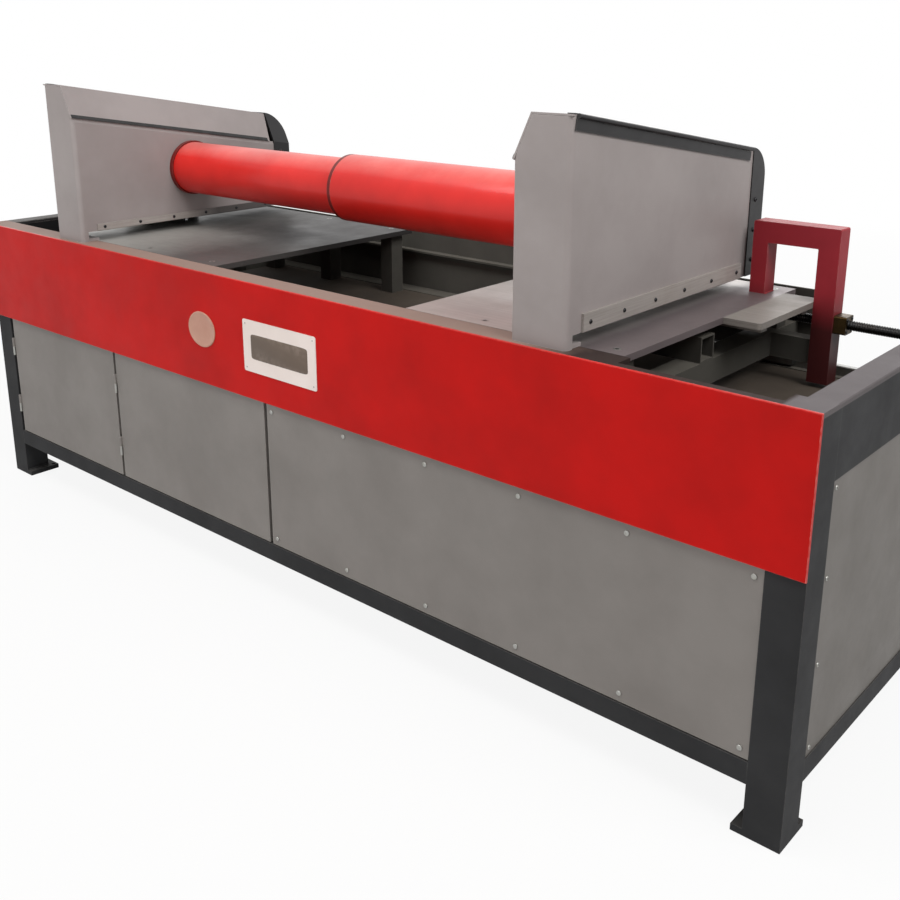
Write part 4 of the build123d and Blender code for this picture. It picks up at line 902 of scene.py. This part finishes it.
@dataclass
class Cabinet(SubAssembly):
    """Red fascia with its two blank plates, and the grey panels and doors below."""

    coats: ClassVar[Coats] = {
        "front_fascia": RED_ENAMEL, "front_panel_right": PANEL_ENAMEL, "left_door": PANEL_ENAMEL,
        "middle_door": PANEL_ENAMEL, "side_and_rear_panels": END_PANEL_ENAMEL, "panel_hardware": ZINC_STEEL,
        "data_plate": PLATE_WHITE,
    }
    rivet_r: float = 2.2 * MM
    rivet_inset: float = 11.0 * MM
    field_share: Pair = (0.39, 0.24)
    field_rises: Triple = (-0.4 * MM, 0.10 * MM, 0.18 * MM)
    badge_rim: float = 7.0 * MM
    screw_r: float = 5.1 * MM
    screw_inset: float = 18.0 * MM
    end_rows: int = 4
    rear_columns: int = 9
    rear_sheet_inset: float = 3.0 * MM
    rear_sheet_lap: float = 4.0 * MM

    def build(self) -> None:
        """The plate's dark field and rivets, the dished badge and the panels' screws."""
        self.build_plate()
        self.build_badge()
        self.build_panel_screws()

    def build_plate(self) -> None:
        """A blank brown field on the white plate, and a rivet in each corner."""
        low, high = extent("data_plate")
        centre, size = (low + high) / 2, high - low
        seat = Seat((centre[0], low[1], centre[2]), Axis.Y, -1)
        field = superellipse(self.field_share[0] * size[0], self.field_share[1] * size[2], 14.0, 64)
        sheet = stack(seat, [field, field, 0.995 * field], self.field_rises)
        make_piece("data_plate_field", [sheet], PLATE_FIELD, "base")
        columns = spaced(low[0], high[0], self.rivet_inset)
        rows = spaced(low[2], high[2], self.rivet_inset)
        rivets = screw_heads(Seat((0.0, low[1], 0.0), Axis.Y, -1), columns, rows, self.rivet_r, socket=False)
        make_piece("data_plate_rivets", rivets, ZINC_STEEL, "base")

    def build_badge(self) -> None:
        """An oval badge with a raised rim and a dished blank face, in the place of the plain disc."""
        low, high = extent("badge_disc")
        centre = (low + high) / 2
        half_x, depth, half_z = (high - low) * np.array([0.5, 1.0, 0.5])
        seat = Seat((centre[0], high[1], centre[2]), Axis.Y, -1)
        insets = self.badge_rim * np.array([0.0, 0.0, 0.15, 0.6, 0.9, 1.2, 3.0])
        rises = depth * np.array([0.0, 0.55, 0.9, 1.0, 0.82, 0.62, 0.70])
        outlines = [superellipse(half_x - inset, half_z - inset, 2.0, 64) for inset in insets]
        badge = make_piece("blank_oval_badge", [stack(seat, outlines, rises)], BADGE_ENAMEL, "base")
        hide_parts("badge_disc")
        SubAssembly.dressed.add("badge_disc")

    def build_panel_screws(self) -> None:
        """Button screws up the edges of the end panels and along the rear panel."""
        low, high = extent("side_and_rear_panels")
        legs = extent("frame_legs")[1]
        inner_x, inner_y = legs[0] - LEG_SIDE, legs[1] - LEG_SIDE
        columns = spaced(-inner_y, inner_y, self.screw_inset)
        rows = spaced(low[2], high[2], self.screw_inset, self.end_rows)
        heads = screw_heads(Seat((low[0], 0.0, 0.0), Axis.X, -1), columns, rows, self.screw_r)
        heads += screw_heads(Seat((high[0], 0.0, 0.0), Axis.X, 1), columns, rows, self.screw_r)
        rear = Seat((0.0, legs[1] - self.rear_sheet_inset, 0.0), Axis.Y, 1)
        rear_top = float(extent("bed_frame")[0][2]) + self.rear_sheet_lap
        columns = spaced(-inner_x, inner_x, self.screw_inset, self.rear_columns)
        heads += screw_heads(rear, columns, spaced(low[2], rear_top, self.screw_inset), self.screw_r)
        make_piece("panel_button_screws", heads, ZINC_STEEL, "base")


@dataclass
class Tables(SubAssembly):
    """The fixed table plate with painted shade and a painted shadow, the bright sliding one with painted
    shade outside its hood, the dull board rest, and flush screws.
    """

    coats: ClassVar[Coats] = {
        "left_table_plate": LEFT_TABLE_STEEL, "right_table_plate": RIGHT_TABLE_STEEL,
        "board_rest_plate": REST_STEEL,
    }
    screw_r: float = 9.0 * MM
    socket_flats: float = 8.55 * MM
    edge_inset: float = 35.0 * MM
    end_inset: float = 60.0 * MM
    left_spacing: float = 301.25 * MM
    right_columns: Pair = (640.0 * MM, 990.0 * MM)
    head_rises: Triple = (-1.0 * MM, 0.15 * MM, 0.25 * MM)
    socket_rises: Pair = (0.1 * MM, 0.3 * MM)

    def build(self) -> None:
        """Countersunk screws over the posts under each plate."""
        left_end = float(extent("left_table_plate")[1][0]) - self.end_inset
        self.build_screws("left_table", (left_end - self.left_spacing, left_end), "base")
        self.build_screws("right_table", self.right_columns, "right_head")

    def build_screws(self, table: str, columns: Pair, body: str) -> None:
        """One screw over each post, a quarter millimetre proud, and the dark hexagon of its socket.

        Args:
            table: first words of the names of the plate and its screws.
            columns: places along X.
            body: the body the plate belongs to.
        """
        low, high = extent(table + "_plate")
        rows = spaced(low[1], high[1], self.edge_inset)
        seats = [Seat((x, y, high[2]), Axis.Z) for x in columns for y in rows]
        rim = circle(self.screw_r)
        socket = hexagon(self.socket_flats)
        heads = [stack(seat, [rim, rim, 0.96 * rim], self.head_rises) for seat in seats]
        holes = [stack(seat, [socket, socket], self.socket_rises) for seat in seats]
        make_piece(table + "_screws", heads, ZINC_STEEL, body)
        make_piece(table + "_screw_sockets", holes, BLACK_OXIDE, body)


@dataclass
class Hood(SubAssembly):
    """One cutter hood with its lid, hinge, rear cap and wear strips."""

    side: Side
    skirt_h: float = 95.0 * MM
    skirt_run: float = 45.0 * MM
    slope: float = 0.16
    seal_h: float = 11.0 * MM
    seal_t: float = 2.6 * MM
    seal_gaps: Pair = (2.0 * MM, 24.0 * MM)
    cap_screw_r: float = 6.0 * MM
    cap_screws: int = 3
    cap_inset: float = 26.0 * MM
    cap_gaps: Pair = (40.0 * MM, 130.0 * MM)
    strip_screw_r: float = 5.0 * MM
    strip_screws: int = 6
    strip_inset: float = 25.0 * MM
    strip_rise_inside: float = 12.0 * MM
    strip_rise_outside: float = 20.0 * MM

    @property
    def name(self) -> str:
        """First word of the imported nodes' names."""
        return self.side.name.lower()

    @property
    def body(self) -> str:
        """The body that carries the hood."""
        return "base" if self.side is Side.LEFT else "right_head"

    @property
    def coats(self) -> Coats:
        """Light grey sheets, black cap and hinge, ground wear strips; the left strip has the tube's shadow
        painted on.
        """
        finishes = {
            "hood": HOOD_ENAMEL, "hood_lid": HOOD_ENAMEL, "rear_cap": BLACK_ENAMEL,
            "lid_hinge": BLACK_ENAMEL, "lid_leaf": BLACK_ENAMEL,
            "wear_strip": STRIP_STEEL_IN_PAINTED_SHADOW if self.side is Side.LEFT else STRIP_STEEL,
        }
        return {f"{self.name}_{node}": finish for node, finish in finishes.items()}

    def build(self) -> None:
        """The black strip that paints the shade line under the lid's skirt, and the screws of the cap and the
        strips.
        """
        self.build_shade_line_seal()
        self.build_cap_screws()
        self.build_strip_screws()

    def build_shade_line_seal(self) -> None:
        """A flat black rubber strip along the lower edge of the lid's slanted side: painted shade that draws
        the shadow line under the skirt.

        Its section (u, v) is carried down the hood's slope: P = start + s (end - start) + u up + v out.
        """
        sign = self.side.value
        low, high = extent(self.name + "_hood")
        lid_low, lid_high = extent(self.name + "_hood_lid")
        edge_x = high[0] if self.side is Side.LEFT else low[0]
        length = math.hypot(self.skirt_run, self.skirt_h)
        up = np.array((sign * self.skirt_run, 0.0, self.skirt_h)) / length
        out = np.array((-sign * self.skirt_h, 0.0, self.skirt_run)) / length
        ends = []
        for y in (lid_low[1] + self.seal_gaps[0], lid_high[1] - self.seal_gaps[1]):
            edge_z = lid_high[2] - self.skirt_h - self.slope * (y - lid_low[1])
            ends.append(np.array((edge_x, y, edge_z)) + up * self.seal_h / 2 + out * 0.4 * self.seal_t)
        section = superellipse(self.seal_h / 2, self.seal_t / 2, 5.0, 24) @ np.array([up, out])
        along = np.linspace(0.0, 1.0, 12)[:, None, None]
        seal = Skin(ends[0] + along * (ends[1] - ends[0]) + section)
        make_piece(self.name + "_lid_seal", [seal], SEAL_AND_SHADE_LINE_RUBBER, self.name + "_lid")

    def build_cap_screws(self) -> None:
        """Button screws down both flanges of the rear cap."""
        low, high = extent(self.name + "_rear_cap")
        rows = np.linspace(low[2] + self.cap_gaps[0], high[2] - self.cap_gaps[1], self.cap_screws)
        heads = []
        for x, outward in ((low[0], -1), (high[0], 1)):
            flange = Seat((x, low[1], 0.0), Axis.X, outward)
            heads += screw_heads(flange, [self.cap_inset], rows, self.cap_screw_r)
        make_piece(self.name + "_cap_screws", heads, BLACK_OXIDE, self.body)

    def build_strip_screws(self) -> None:
        """Small screws along each wear strip; the left hood has a strip on its inner side only."""
        low, high = extent(self.name + "_wear_strip")
        columns = spaced(low[1], high[1], self.strip_inset, self.strip_screws)
        inner_x = high[0] if self.side is Side.LEFT else low[0]
        inside = Seat((inner_x, 0.0, low[2]), Axis.X, -self.side.value)
        heads = screw_heads(inside, columns, [self.strip_rise_inside], self.strip_screw_r)
        if self.side is Side.RIGHT:
            outside = Seat((high[0], 0.0, low[2]), Axis.X, 1)
            heads += screw_heads(outside, columns, [self.strip_rise_outside], self.strip_screw_r)
        make_piece(self.name + "_strip_screws", heads, BLACK_OXIDE, self.body)


@dataclass
class Spindles(SubAssembly):
    """Turned shafts, bearings and cutters with ground knives, and the red tubes over the shaft."""

    coats: ClassVar[Coats] = {
        "arbor_shaft": TURNED_STEEL, "right_spindle": TURNED_STEEL, "left_bearings": TURNED_STEEL,
        "right_bearings": TURNED_STEEL, "left_cutter_knives": KNIFE_STEEL, "right_cutter_knives": KNIFE_STEEL,
        "left_cutter": CAST_IRON, "right_cutter": CAST_IRON, "arbor_pulley": CAST_IRON,
        "left_tube": TUBE_ENAMEL, "right_tube": TUBE_ENAMEL, "left_tube_collar": DARK_RED_ENAMEL,
        "right_tube_rings": DARK_RED_ENAMEL, "left_pedestal": RED_ENAMEL,
    }
    cutter_r: float = 150.0 * MM
    knives: int = 4
    gib_turn: float = 12.0
    gib_shares: Pair = (0.25, 0.75)
    gib_sink: float = 0.8 * MM
    screw_r: float = 6.0 * MM
    pedestal_reach: float = 38.0 * MM

    def build(self) -> None:
        """Gib screws beside each knife, and screws on the pedestal's bearing plate."""
        self.build_gib_screws("left_cutter", "arbor")
        self.build_gib_screws("right_cutter", "right_spindle")
        corners = (-self.pedestal_reach, self.pedestal_reach)
        plate = Seat((extent("left_pedestal")[0][0], SHAFT_Y, SHAFT_Z), Axis.X, -1)
        heads = screw_heads(plate, corners, corners, self.screw_r)
        make_piece("left_pedestal_screws", heads, BLACK_OXIDE, "base")

    def build_gib_screws(self, cutter: str, body: str) -> None:
        """Two screws beside each knife: y and z of a head on top are turned about the shaft's line.

        Args:
            cutter: the cutter's node.
            body: the body the cutter belongs to.
        """
        low, high = extent(cutter + "_knives")
        centre = np.array((0.0, SHAFT_Y, SHAFT_Z))
        heads = []
        for share in self.gib_shares:
            x = low[0] + share * (high[0] - low[0])
            top = Seat((x, SHAFT_Y, SHAFT_Z + self.cutter_r - self.gib_sink), Axis.Z)
            head = button_head(top, self.screw_r).points - centre
            for turn in np.radians(self.gib_turn + 360 / self.knives * np.arange(self.knives)):
                c, s = math.cos(turn), math.sin(turn)
                about_x = np.array([[1, 0, 0], [0, c, -s], [0, s, c]])
                heads.append(Skin(head @ about_x.T + centre))
        make_piece(cutter + "_gib_screws", heads, BLACK_OXIDE, body)


@dataclass
class RightCarriage(SubAssembly):
    """The dark sliding frame of the right head with its red bracket, bronze nut and steel shoes."""

    coats: ClassVar[Coats] = {
        "right_carriage": BED_ENAMEL, "head_bracket": CRIMSON_ENAMEL, "screw_nut": BRONZE,
        "carriage_blocks": RAIL_STEEL,
    }
    screw_r: float = 4.0 * MM
    screw_inset: float = 7.5 * MM
    bar_side: float = 52.0 * MM
    leg_side: float = 40.0 * MM
    bead_r: float = 3.0 * MM
    bead_gap: float = 2.0 * MM

    def build(self) -> None:
        """Four screws in the nut's face, and weld beads at the bracket's corners."""
        low, high = extent("screw_nut")
        columns = spaced(low[1], high[1], self.screw_inset)
        rows = spaced(low[2], high[2], self.screw_inset)
        heads = screw_heads(Seat((high[0], 0.0, 0.0), Axis.X, 1), columns, rows, self.screw_r)
        make_piece("screw_nut_screws", heads, BLACK_OXIDE, "right_head")
        low, high = extent("head_bracket")
        front, back = spaced(low[1], high[1], self.bead_gap)
        leg_x, post_x = low[0] + self.leg_side, high[0] - self.bar_side
        bar_z = high[2] - self.bar_side
        table_z = float(extent("right_table_plate")[1][2])
        corners = ((leg_x, bar_z), (post_x, bar_z), (leg_x, table_z))
        beads = [bead((x, front, z), (x, back, z), self.bead_r) for x, z in corners]
        make_piece("head_bracket_weld_beads", beads, CRIMSON_ENAMEL, "right_head", BEAD_SHARP)


@dataclass
class AdjustingScrew(SubAssembly):
    """The long screw with its thread, its dark bearing flange, the black handwheel and its grip."""

    coats: ClassVar[Coats] = {
        "handwheel": WHEEL_IRON, "handwheel_grip": BLACK_PLASTIC, "screw_bracket": FRAME_ENAMEL,
    }
    screw_y: float = 320.0 * MM
    screw_z: float = 851.0 * MM
    crest_r: float = 12.0 * MM
    root_r: float = 10.4 * MM
    lead: float = 6.0 * MM
    chamfer: float = 1.0 * MM
    chamfer_l: float = 2.0 * MM
    collar_r: float = 18.0 * MM
    collar_t: float = 10.0 * MM
    collar_gap: float = 1.0 * MM
    end_rail_x: float = 1470.0 * MM
    flange_reach: float = 22.0 * MM
    flange_screw_r: float = 4.5 * MM
    nut_flats_mm: Triple = (24.0, 24.0, 22.0)
    nut_dome_mm: tuple[float, ...] = (10.5, 9.6, 7.4, 4.0)
    nut_rises_mm: tuple[float, ...] = (0.0, 9.0, 10.5, 11.0, 15.0, 18.5, 20.5)

    def build(self) -> None:
        """The threaded screw, the wheel's cap nut and the flange's screws."""
        self.build_thread()
        self.build_wheel_nut()
        corners = (-self.flange_reach, self.flange_reach)
        flange = Seat((extent("screw_bracket")[0][0], self.screw_y, self.screw_z), Axis.X, -1)
        heads = screw_heads(flange, corners, corners, self.flange_screw_r)
        make_piece("screw_flange_screws", heads, BLACK_OXIDE, "base")

    def build_thread(self) -> None:
        """A right-hand thread with a collar on each side of its bearing.

        The radius is r(x, t) = mean + half depth * clip(1.8 sin(2 pi x / lead - t), -1, 1) along the thread,
        and a plain profile r(x) further on.
        """
        low, high = extent("adjusting_screw")
        inner_x = extent("screw_bracket")[0][0] - self.collar_gap - self.collar_t
        plain = []
        for x in (inner_x, self.end_rail_x + self.collar_gap):
            end_x = x + self.collar_t
            plain += [(x, self.crest_r), (x, self.collar_r), (end_x, self.collar_r), (end_x, self.crest_r)]
        plain.append((high[0], self.crest_r))
        plain_x, plain_r = np.array(plain).T
        thread_x = np.arange(low[0] + self.chamfer_l, inner_x, self.lead / 8)
        mean = np.full(len(thread_x), (self.crest_r + self.root_r) / 2)
        half_depth = np.full(len(thread_x), (self.crest_r - self.root_r) / 2)
        along = np.concatenate([[low[0]], thread_x, plain_x])[:, None]
        base = np.concatenate([[self.root_r - self.chamfer], mean, plain_r])[:, None]
        depth = np.concatenate([[0.0], half_depth, np.zeros(len(plain))])[:, None]
        turn = np.linspace(0.0, 2 * math.pi, 32, endpoint=False)
        wave = np.clip(1.8 * np.sin(2 * math.pi * along / self.lead - turn), -1.0, 1.0)
        radius = base + depth * wave
        points = np.stack([
            np.broadcast_to(along, radius.shape),
            self.screw_y + radius * np.cos(turn),
            self.screw_z + radius * np.sin(turn),
        ], axis=-1)
        screw = make_piece("threaded_adjusting_screw", [Skin(points)], DARK_SCREW_STEEL, "screw")
        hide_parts("adjusting_screw")
        SubAssembly.dressed.add("adjusting_screw")

    def build_wheel_nut(self) -> None:
        """A domed nut on the end of the screw, in front of the wheel's hub."""
        seat = Seat((extent("adjusting_screw")[1][0], self.screw_y, self.screw_z), Axis.X, 1)
        outlines = [hexagon(flats * MM) for flats in self.nut_flats_mm]
        outlines += [circle(radius * MM) for radius in self.nut_dome_mm]
        nut = stack(seat, outlines, [rise * MM for rise in self.nut_rises_mm])
        make_piece("handwheel_cap_nut", [nut], ZINC_STEEL, "screw")


@dataclass
class Drive(SubAssembly):
    """Blue grey motor with its cowl and terminal box, rubber belts and black guard."""

    coats: ClassVar[Coats] = {
        "motor_body": MOTOR_ENAMEL, "motor_rotor": CAST_IRON, "motor_base": FRAME_ENAMEL,
        "drive_belts": BELT_RUBBER, "belt_guard": BLACK_ENAMEL,
    }
    cowl_r: float = 118.0 * MM
    cowl_l: float = 70.0 * MM
    cowl_lap: float = 2.0 * MM
    box_half: Triple = (52.0 * MM, 40.0 * MM, 34.0 * MM)
    box_rise: float = 118.0 * MM
    guard_screw_r: float = 5.0 * MM
    guard_inset: float = 16.0 * MM
    guard_rows: Pair = (30.0 * MM, 170.0 * MM)

    def build(self) -> None:
        """The fan cowl behind the motor, its terminal box and the guard's screws."""
        low, high = extent("motor_body")
        rotor_low, rotor_high = extent("motor_rotor")
        axis_z = float((rotor_low[2] + rotor_high[2]) / 2)
        self.build_cowl(Seat((high[0], SHAFT_Y, axis_z), Axis.X, 1))
        self.build_box(Seat((float((low[0] + high[0]) / 2), SHAFT_Y, axis_z + self.box_rise), Axis.Z))
        low, high = extent("belt_guard")
        columns = spaced(low[1], high[1], self.guard_inset)
        face = Seat((low[0], 0.0, low[2]), Axis.X, -1)
        heads = screw_heads(face, columns, self.guard_rows, self.guard_screw_r)
        make_piece("belt_guard_screws", heads, ZINC_STEEL, "base")

    def build_cowl(self, seat: Seat) -> None:
        """A surface of revolution, r(x) carried round the axis: a drum with two ring grooves in its end.

        Args:
            seat: the middle of the motor's rear end.
        """
        lengths = np.array([0.0, 0.72, 0.90, 1.0, 1.0, 0.95, 0.95, 1.0, 1.0, 0.95, 0.95]) * self.cowl_l
        radii = np.array([1.0, 1.0, 0.95, 0.84, 0.66, 0.64, 0.48, 0.46, 0.30, 0.28, 0.12]) * self.cowl_r
        lengths[0] = -self.cowl_lap
        cowl = stack(seat, [circle(radius, 48) for radius in radii], lengths)
        make_piece("motor_fan_cowl", [cowl], MOTOR_ENAMEL, "base")

    def build_box(self, seat: Seat) -> None:
        """A rounded box: one outline piled up at several scales, drawn in at the seam and the lid's top.

        Args:
            seat: the middle of the box's base.
        """
        half_x, half_y, height = self.box_half
        outline = superellipse(half_x, half_y, 7.0, 48)
        rises = np.array([0.0, 0.62, 0.64, 0.66, 0.68, 0.94, 1.0]) * height
        scales = (1.0, 1.0, 0.97, 0.97, 1.02, 1.02, 0.97)
        box = stack(seat, [scale * outline for scale in scales], rises)
        make_piece("motor_terminal_box", [box], MOTOR_ENAMEL, "base")


@dataclass
class SwitchBox(SubAssembly):
    """Grey push-button box on the left hood, with black bezels, a green and a red button."""

    coats: ClassVar[Coats] = {
        "switch_box": BOX_PLASTIC, "switch_box_fittings": BLACK_PLASTIC, "start_button": GREEN_PLASTIC,
        "stop_button": RED_PLASTIC,
    }
    cover_y: float = 14.0 * MM
    seam_t: float = 1.6 * MM
    seam_w: float = 2.0 * MM
    seam_proud: float = 0.1 * MM
    screw_r: float = 3.2 * MM
    screw_inset: float = 7.0 * MM
    nut_flats: float = 24.0 * MM
    nut_t: float = 6.0 * MM

    def build(self) -> None:
        """The gasket between cover and box, cover screws and the gland's nut."""
        low, high = extent("switch_box")
        centre, half = (low + high) / 2, (high - low) / 2
        seat = Seat((centre[0], low[1] + self.cover_y, centre[2]), Axis.Y, 1)
        outer = superellipse(half[0] + self.seam_proud, half[2] + self.seam_proud, 22.0, 96)
        inner = superellipse(half[0] - self.seam_w, half[2] - self.seam_w, 22.0, 96)
        ring = stack(seat, [outer, outer, inner, inner], [0.0, self.seam_t, self.seam_t, 0.0], looped=True)
        make_piece("switch_box_gasket", [ring], SEAL_AND_SHADE_LINE_RUBBER, "base")
        columns = spaced(low[0], high[0], self.screw_inset)
        rows = spaced(low[2], high[2], self.screw_inset)
        heads = screw_heads(Seat((0.0, low[1], 0.0), Axis.Y, -1), columns, rows, self.screw_r)
        make_piece("switch_box_screws", heads, ZINC_STEEL, "base")
        seat = Seat((centre[0], centre[1], low[2]), Axis.Z, -1)
        outlines = [hexagon(self.nut_flats * share) for share in (1.0, 1.0, 0.93)]
        nut = stack(seat, outlines, [0.0, 0.8 * self.nut_t, self.nut_t])
        make_piece("cable_gland_nut", [nut], BLACK_PLASTIC, "base")


@dataclass(frozen=True)
class Lamp:
    """A rectangular soft lamp: where it hangs, the point it faces, its width and height, and its power."""

    name: str
    place: Triple
    target: Triple
    size: Pair
    watts: float

    def build(self) -> None:
        """Hangs the lamp and turns its face to the target."""
        data = bpy.data.lights.new(self.name, "AREA")
        data.shape = "RECTANGLE"
        data.size, data.size_y = self.size
        data.energy = self.watts
        lamp = bpy.data.objects.new(self.name, data)
        x, y, z = np.array(self.target) - np.array(self.place)
        lamp.location = self.place
        lamp.rotation_euler = (math.atan2(math.hypot(x, y), -z), 0.0, math.atan2(-x, y))
        bpy.context.scene.collection.objects.link(lamp)


@dataclass
class Studio:
    """Floor, world, soft lamps and camera."""

    # A long softbox over the front of the bed, and a fill lamp on each side.
    lamps: ClassVar[tuple[Lamp, ...]] = (
        Lamp("softbox_over_bed", (-0.3, -1.7, 4.0), (0.0, 0.0, 0.8), (3.6, 1.2), 92.0),
        Lamp("fill_front", (-0.7, -5.4, 1.7), (0.0, -0.3, 0.7), (3.4, 2.6), 66.0),
        Lamp("fill_right", (3.6, -0.4, 4.1), (0.7, 0.0, 1.1), (2.6, 2.0), 155.0),
        Lamp("fill_rear", (-1.0, 5.2, 3.0), (0.0, 0.3, 0.8), (3.4, 2.4), 60.0),
        Lamp("fill_left", (-6.0, 0.6, 2.6), (-0.9, 0.0, 0.8), (2.8, 2.4), 50.0),
    )
    camera_place: Triple = (2.1385, -2.1881, 1.5175)
    camera_down: float = 16.22
    camera_turn: float = 41.26
    sensor: float = 36.0
    lens: float = 43.43
    shift_y: float = -100 / 900
    floor_half: float = 60.0
    shadow_reach: Pair = (2.0, 7.0)
    shadow_white: float = 0.90
    ambient: float = 0.36

    def build(self) -> None:
        """Makes all four."""
        self.build_floor()
        self.build_world()
        for lamp in self.lamps:
            lamp.build()
        self.build_camera()

    def seen(self, tree: NodeTree) -> Node:
        """1 where the camera, a reflection or glass looks at the background, else 0.

        Args:
            tree: the tree that gets the nodes.

        Returns:
            The node with that value.
        """
        path = add_node(tree, "LightPath").outputs
        either = add_node(tree, "Math", {
            0: path["Is Camera Ray"], 1: path["Is Glossy Ray"],
        }, operation="MAXIMUM")
        return add_node(tree, "Math", {0: either, 1: path["Is Transmission Ray"]}, operation="MAXIMUM")

    def build_floor(self) -> None:
        """A wide pale floor that keeps a faint shadow near the object and is plain white further off."""
        half = self.floor_half
        corners = [(-half, -half, 0), (half, -half, 0), (half, half, 0), (-half, half, 0)]
        mesh = bpy.data.meshes.new("studio_floor")
        mesh.from_pydata(corners, [], [[0, 1, 2, 3]])
        floor = bpy.data.objects.new("studio_floor", mesh)
        bpy.context.scene.collection.objects.link(floor)
        paint = bpy.data.materials.new("Matt white studio floor")
        paint.use_nodes = True
        tree = paint.node_tree
        shader = tree.nodes["Principled BSDF"]
        feed(tree, shader, {"Base Color": linear("#CFCFCD"), "Roughness": 0.9})
        glow = add_node(tree, "Emission", {"Color": linear("#FFFFFF"), "Strength": 1.0})
        coord = add_node(tree, "TexCoord").outputs["Object"]
        reach = add_node(tree, "VectorMath", {0: coord}, operation="LENGTH")
        white = add_node(tree, "MapRange", {
            "Value": reach, "From Min": self.shadow_reach[0], "From Max": self.shadow_reach[1],
            "To Min": self.shadow_white, "To Max": 1.0,
        })
        share = add_node(tree, "Math", {0: self.seen(tree), 1: white}, operation="MULTIPLY")
        mixed = add_node(tree, "MixShader", {0: share, 1: shader, 2: glow})
        feed(tree, tree.nodes["Material Output"], {"Surface": mixed})
        mesh.materials.append(paint)

    def build_world(self) -> None:
        """White where it is seen, a soft grey sky for the light."""
        world = bpy.data.worlds.new("studio_world")
        bpy.context.scene.world = world
        world.use_nodes = True
        tree = world.node_tree
        sky = add_node(tree, "Background", {"Color": linear("#FFFFFF"), "Strength": self.ambient})
        white = add_node(tree, "Background", {"Color": linear("#FFFFFF"), "Strength": 1.0})
        mixed = add_node(tree, "MixShader", {0: self.seen(tree), 1: sky, 2: white})
        feed(tree, tree.nodes["World Output"], {"Surface": mixed})

    def build_camera(self) -> None:
        """The camera at the photo's place, angle and framing."""
        data = bpy.data.cameras.new("photo_camera")
        data.sensor_width = self.sensor
        data.lens = self.lens
        data.shift_y = self.shift_y
        camera = bpy.data.objects.new("photo_camera", data)
        camera.location = self.camera_place
        camera.rotation_euler = (math.radians(90 - self.camera_down), 0.0, math.radians(self.camera_turn))
        bpy.context.scene.collection.objects.link(camera)
        bpy.context.scene.camera = camera


def main() -> None:
    """Dresses and builds each sub-assembly in order, then the studio."""
    logging.basicConfig(level=logging.INFO, format="%(message)s")
    bpy.context.scene.view_settings.view_transform = "Standard"
    groups: list[SubAssembly] = [
        FrameAndBed(), Cabinet(), Tables(), Hood(Side.LEFT), Hood(Side.RIGHT), Spindles(), RightCarriage(),
        AdjustingScrew(), Drive(), SwitchBox(),
    ]
    for group in groups:
        group.dress()
        group.build()
    bare = sorted(set(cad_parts) - SubAssembly.dressed)
    if bare:
        raise ValueError(f"nodes without a finish: {bare}")
    Studio().build()


if __name__ == "__main__":
    main()
